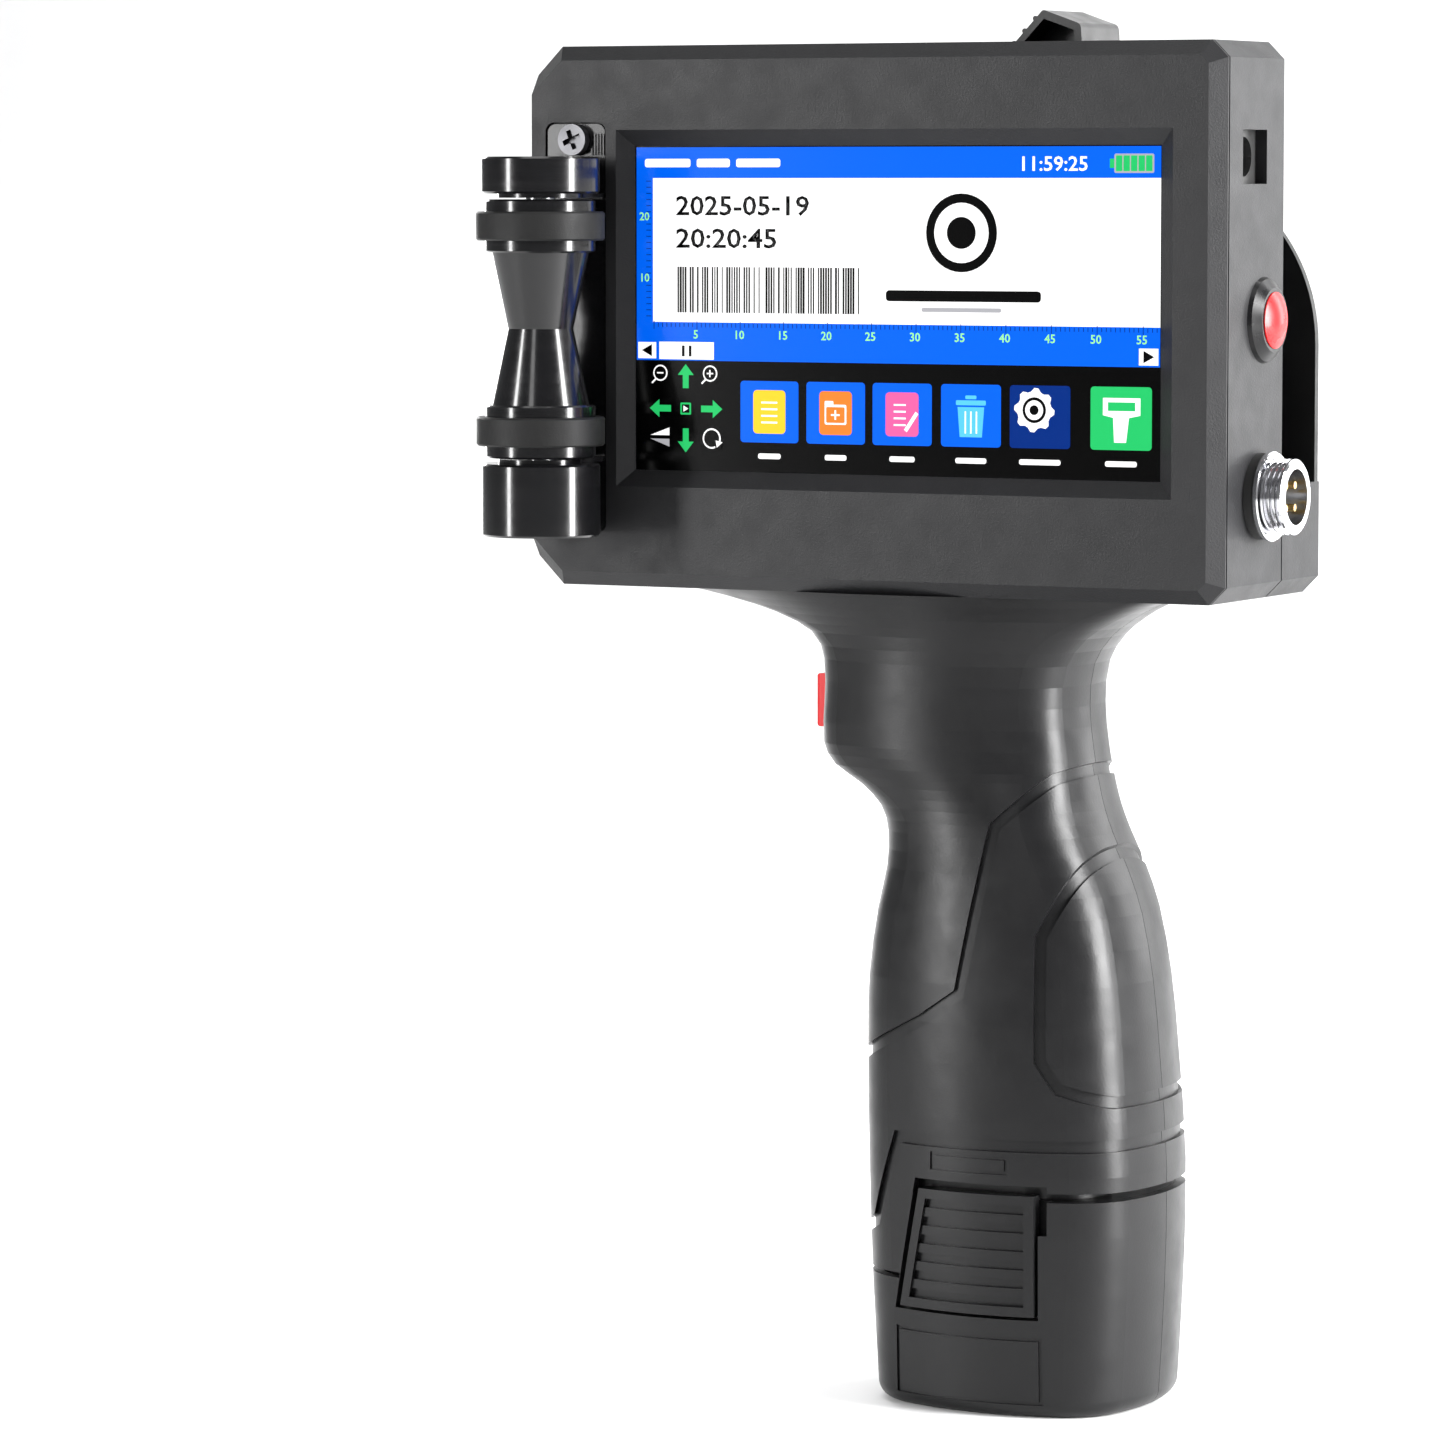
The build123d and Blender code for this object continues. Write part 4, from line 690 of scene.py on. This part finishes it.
@dataclass
class DisplayPage:
    """The page that the display shows: a title bar, a label editor with rulers, and a row of tools.

    Attributes:
        picture: Picture to draw on.
        bar_low: Bottom of the title bar.
        ruler_low: Bottom of the editor.
        ruler_left: Width of the upright ruler.
        scroll_top: Top of the scroll row.
        tools_top: Top of the dark tool area.
        tick_step: Step from tick to tick of the level ruler.
        tick_rise: Step from tick to tick of the upright ruler.
        tile: Size of a tool's tile, (width, height).
        tile_top: Top of the tiles.
        label_top: Top of the bars under the tiles.
        label_low: Bottom of the bars under the tiles.
    """

    picture: Picture
    bar_low: float = 5.1
    ruler_low: float = 29.0
    ruler_left: float = 3.1
    scroll_top: float = 32.1
    tools_top: float = 35.4
    tick_step: float = 0.812
    tick_rise: float = 1.02
    tile: Point2 = (10.8, 10.2)
    tile_top: float = 38.6
    label_top: float = 50.6
    label_low: float = 51.5

    def build(self) -> None:
        """Draws the whole page."""
        self.editor()
        self.rulers()
        self.scroll_row()
        self.title_bar()
        self.jog_pad()
        self.view_tools()
        self.tool_tiles()
        self.page_signs()
        self.folder_sign()
        self.bin_sign()
        self.gear_sign()
        self.print_sign()
        self.picture.hand_over()

    def editor(self) -> None:
        """Draws the white label editor, and the date, bar pattern and ringed disc on the label."""
        draw, look = self.picture, Finishes
        draw.box(0, 0, draw.width, draw.height, look.black, 0)
        draw.box(self.ruler_left, self.bar_low, draw.width, self.ruler_low, look.white)
        draw.numerals("2025-05-19", 7.4, 11.2, 4.5, look.black, squeeze=1.2)
        draw.numerals("20:20:45", 7.4, 16.6, 4.5, look.black, squeeze=1.24)
        RepeatedMarks("bar_pattern", (7.9, 23.6), (0.46, 0), 74, (0.17, 7.6), spread=1.3,
                      missing=0.22).make(draw, look.black)
        for radius, finish, layer in ((6.4, look.black, 2), (4.9, look.white, 3), (2.6, look.black, 4)):
            draw.disc(60.2, 14.0, radius, finish, layer, 40)
        draw.box(46.5, 23.4, 74.5, 25.2, look.black, 2, 0.6)
        draw.box(53.0, 26.2, 67.4, 26.9, look.grey, 2, 0.3)

    def rulers(self) -> None:
        """Draws the two rulers with their ticks and numbers."""
        draw, look = self.picture, Finishes
        draw.box(0, self.bar_low, self.ruler_left, self.scroll_top, look.blue)
        draw.box(self.ruler_left, self.ruler_low, draw.width, self.scroll_top, look.blue)
        RepeatedMarks("ruler_ticks_level", (3.3, 29.5), (self.tick_step, 0), 114, (0.13, 0.7),
                      long_every=10).make(draw, look.dark_blue)
        RepeatedMarks("ruler_ticks_upright", (2.3, 5.6), (0, self.tick_rise), 23,
                      (0.9, 0.13)).make(draw, look.dark_blue)
        for step in range(1, 12):
            draw.numerals(str(5 * step), self.ruler_left + 10 * self.tick_step * step, 31.7, 2.0, look.lime,
                          hold=Justify.CENTER)
        for number, down in ((20, 12.1), (10, 22.3)):
            draw.numerals(str(number), 1.5, down, 1.9, look.lime, hold=Justify.CENTER)

    def scroll_row(self) -> None:
        """Draws the scroll row with an arrow at each end and its slider."""
        draw, look = self.picture, Finishes
        middle = (self.scroll_top + self.tools_top) / 2
        draw.box(0, self.scroll_top, draw.width, self.tools_top, look.blue)
        for left in (0.3, draw.width - 3.7):
            draw.box(left, self.scroll_top + 0.3, left + 3.4, self.tools_top - 0.3, look.white, 2)
        for tip, back in ((1.0, 2.9), (draw.width - 1.0, draw.width - 2.9)):
            draw.outline([(tip, middle), (back, middle - 1.0), (back, middle + 1.0)], look.black, 3)
        draw.box(4.3, self.scroll_top + 0.2, 14.6, self.tools_top - 0.2, look.white, 2)
        for left in (8.6, 9.9):
            draw.box(left, 32.9, left + 0.5, 34.7, look.black, 3)

    def title_bar(self) -> None:
        """Draws the bar along the top with plain bars for its words, the clock and the charge."""
        draw, look = self.picture, Finishes
        draw.box(0, 0, draw.width, self.bar_low, look.blue)
        for left, right in ((1.6, 10.2), (11.4, 17.6), (18.8, 27.0)):
            draw.box(left, 1.9, right, 3.3, look.white, 2, 0.4)
        draw.numerals("11:59:25", 70.4, 3.9, 3.3, look.white, squeeze=1.1)
        draw.box(87.4, 1.2, 94.4, 4.3, look.grey, 2, 0.3)
        for charge in range(5):
            left = 87.7 + 1.32 * charge
            draw.box(left, 1.5, left + 1.1, 4.0, look.green, 3, 0.1)
        draw.box(86.6, 2.0, 87.4, 3.5, look.green, 2)

    def jog_pad(self) -> None:
        """Draws the four arrows at the lower left and the mark between them."""
        draw, look = self.picture, Finishes
        for right, down, turn in ((9.3, 38.1, 0), (4.6, 43.4, 270), (14.1, 43.4, 90), (9.3, 48.6, 180)):
            draw.arrow(right, down, turn, look.green)
        draw.box(8.3, 42.4, 10.3, 44.4, look.green, 2, 0.2)
        draw.box(8.6, 42.7, 10.0, 44.1, look.black, 3)
        draw.outline([(8.9, 42.9), (9.8, 43.4), (8.9, 43.9)], look.white, 4)

    def view_tools(self) -> None:
        """Draws the two magnifiers, the mirror sign and the turn sign in the pad's corners."""
        draw, look = self.picture, Finishes
        for centre in (4.5, 13.9):
            draw.disc(centre, 37.5, 1.35, look.white, 2)
            draw.disc(centre, 37.5, 1.1, look.black, 3)
            draw.box(centre - 0.6, 37.38, centre + 0.6, 37.62, look.white, 4)
            draw.outline([(centre - 0.85, 38.3), (centre - 0.65, 38.5), (centre - 1.5, 39.3),
                          (centre - 1.7, 39.1)], look.white, 2)
        draw.box(13.78, 36.9, 14.02, 38.1, look.white, 5)
        draw.outline([(2.6, 47.9), (6.2, 46.6), (6.2, 47.9)], look.white, 2)
        draw.outline([(2.6, 48.5), (6.2, 48.5), (6.2, 49.8)], look.grey, 2)
        draw.disc(14.2, 48.3, 1.7, look.white, 2)
        draw.disc(14.2, 48.3, 1.42, look.black, 3)
        draw.box(14.9, 48.9, 16.1, 50.1, look.black, 4)
        draw.outline([(15.0, 48.6), (16.3, 48.9), (15.2, 49.8)], look.white, 5)

    def tool_tiles(self) -> None:
        """Draws the six tool tiles, and plain bars for their labels."""
        draw, look = self.picture, Finishes
        wide, high = self.tile
        for left, finish, label in ((19.6, look.blue, 4.2), (31.9, look.blue, 4.0), (44.1, look.blue, 4.6),
                                    (56.6, look.blue, 5.6), (69.0, look.dark_blue, 7.4),
                                    (83.4, look.green, 5.6)):
            draw.box(left, self.tile_top, left + wide, self.tile_top + high, finish, 1, 0.6)
            centre = left + wide / 2
            draw.box(centre - label / 2, self.label_top, centre + label / 2, self.label_low, look.white, 1,
                     0.35)

    def page_signs(self) -> None:
        """Draws the coloured cards on three tiles, and the lines and pen on two of them."""
        draw, look = self.picture, Finishes
        wide, high = self.tile
        middle = self.tile_top + high / 2
        for left, colour in ((19.6, look.yellow), (31.9, look.orange), (44.1, look.pink)):
            centre = left + wide / 2
            draw.box(centre - 3.0, middle - 3.6, centre + 3.0, middle + 3.6, colour, 2, 0.7)
        for line in range(4):
            top = 42.0 + line * 1.1
            draw.box(23.5, top, 26.5, top + 0.3, look.white, 3)
            draw.box(48.0, top, 50.2, top + 0.3, look.white, 3)
        draw.outline([(49.9, 46.2), (52.0, 43.2), (52.5, 43.6), (50.4, 46.6)], look.white, 4)

    def folder_sign(self) -> None:
        """Draws the folder with a plus."""
        draw, look = self.picture, Finishes
        draw.box(35.3, 42.3, 39.3, 45.6, look.white, 3, 0.3)
        draw.box(35.3, 41.7, 36.9, 42.6, look.white, 3, 0.2)
        draw.box(35.6, 42.7, 39.0, 45.3, look.orange, 4, 0.2)
        draw.box(37.15, 43.2, 37.45, 44.8, look.white, 5)
        draw.box(36.5, 43.85, 38.1, 44.15, look.white, 5)

    def bin_sign(self) -> None:
        """Draws the bin with its lid and three uprights."""
        draw, look = self.picture, Finishes
        draw.box(59.3, 41.2, 64.7, 42.0, look.sky, 2, 0.2)
        draw.box(61.0, 40.4, 63.0, 41.0, look.sky, 2, 0.2)
        draw.outline([(59.6, 42.3), (64.4, 42.3), (64.0, 47.2), (60.0, 47.2)], look.sky, 2)
        for upright in (60.9, 61.9, 62.9):
            draw.box(upright, 43.0, upright + 0.25, 46.6, look.white, 3)

    def gear_sign(self) -> None:
        """Draws the toothed wheel."""
        draw, look = self.picture, Finishes
        draw.disc(73.4, 42.6, 3.6, look.white, 2, 32, 0.55)
        for radius, finish, layer in ((2.1, look.black, 3), (1.6, look.white, 4), (0.8, look.black, 5)):
            draw.disc(73.4, 42.6, radius, finish, layer)

    def print_sign(self) -> None:
        """Draws the small printer on its handle."""
        draw, look = self.picture, Finishes
        draw.outline([(85.6, 40.4), (92.2, 40.4), (92.2, 43.2), (90.2, 43.6), (89.7, 47.6), (87.6, 47.6),
                      (87.4, 43.6), (85.6, 43.2)], look.white, 2)
        draw.box(86.5, 41.1, 91.3, 42.5, look.green, 3)


# ---------------------------------------------------------------- studio
@dataclass
class Studio:
    """Pale floor with a swept back, soft light and the camera.

    Attributes:
        camera_at: Camera position in metres.
        heading: Degrees the view is turned from +Y towards -X.
        pitch: Degrees the view looks down.
        lens: Focal length in millimetres.
        sensor: Width of the frame in millimetres.
        aim: Middle of the printer, where most lamps point.
        bend_steps: Flat steps round the floor's sweep.
    """

    camera_at: tuple[float, float, float] = (0.448116, -0.957327, 0.20223)
    heading: float = 27.859
    pitch: float = 4.845
    lens: float = 159.0
    sensor: float = 36.0
    aim: tuple[float, float, float] = (-0.01, 0.0, 0.13)
    bend_steps: int = 12

    def build(self) -> None:
        """Makes the floor, the world, the lights and the camera."""
        self.floor()
        self.world()
        aim = Vector(self.aim)
        self.lamp("key_right", Vector((1.1, 0.12, 0.4)), aim, (0.45, 0.9), 52.0)
        self.lamp("front_left", Vector((-0.75, -1.0, 0.35)), aim, (0.16, 0.9), 14.0)
        self.lamp("overhead", Vector((0.0, -0.2, 1.2)), aim, (0.8, 0.5), 3.5)
        self.lamp("front_fill", Vector((0.1, -1.6, 0.9)), aim, (0.3, 0.5), 2.5)
        self.lamp("back_right", Vector((0.6, 0.95, 0.5)), aim, (0.3, 0.9), 7.0)
        self.lamp("back_left", Vector((-0.8, 0.7, 0.5)), aim, (0.3, 0.9), 8.0)
        self.lamp("backdrop", Vector((0.0, 0.9, 1.9)), Vector((0.0, 2.4, 0.5)), (2.4, 0.4), 60.0)
        self.camera()

    def floor(self) -> None:
        """Makes one sheet: level under the printer, swept up behind it."""
        builder = bmesh.new()
        half, front, back, bend, top = 3.0, -3.0, 1.6, 0.8, 3.0
        profile = [(front, 0.0), (back, 0.0)]
        for step in range(1, self.bend_steps + 1):
            angle = math.pi / 2 * step / self.bend_steps
            profile.append((back + bend * math.sin(angle), bend - bend * math.cos(angle)))
        profile.append((back + bend, top))
        rows = [[builder.verts.new((side, y, z)) for y, z in profile] for side in (-half, half)]
        for index in range(len(profile) - 1):
            builder.faces.new((rows[0][index], rows[1][index], rows[1][index + 1], rows[0][index + 1]))
        floor = mesh_object("studio_floor", builder, Finishes.floor)
        for polygon in floor.data.polygons:
            polygon.use_smooth = True

    def world(self) -> None:
        """Lights the scene with an even pale sky."""
        world = bpy.data.worlds.new("studio_sky")
        world.use_nodes = True
        sky = world.node_tree.nodes["Background"]
        sky.inputs["Color"].default_value = (0.97, 0.98, 1.0, 1)
        sky.inputs["Strength"].default_value = 0.2
        bpy.context.scene.world = world

    def lamp(self, name: str, place: Vector, aim: Vector, size: Point2, power: float) -> None:
        """Adds a soft rectangular lamp.

        Args:
            name: Name of the lamp.
            place: Where it stands.
            aim: What it points at.
            size: Width and height.
            power: Watts.
        """
        data = bpy.data.lights.new(name, "AREA")
        data.shape = "RECTANGLE"
        data.size, data.size_y = size
        data.energy = power
        lamp = bpy.data.objects.new(name, data)
        lamp.location = place
        lamp.rotation_euler = (aim - place).to_track_quat("-Z", "Y").to_euler()
        bpy.context.scene.collection.objects.link(lamp)

    def camera(self) -> None:
        """Adds the camera and makes it the scene's."""
        data = bpy.data.cameras.new("camera")
        data.lens = self.lens
        data.sensor_width = self.sensor
        data.clip_start = 0.05
        camera = bpy.data.objects.new("camera", data)
        camera.location = self.camera_at
        camera.rotation_euler = Euler((math.radians(90 - self.pitch), 0, math.radians(self.heading)))
        bpy.context.scene.collection.objects.link(camera)
        bpy.context.scene.camera = camera


def main() -> None:
    """Builds the looks in order."""
    Studio().build()
    dress_frame()
    DisplayPage(Picture()).build()
    bpy.context.scene.view_settings.view_transform = "Standard"


if __name__ == "__main__":
    main()
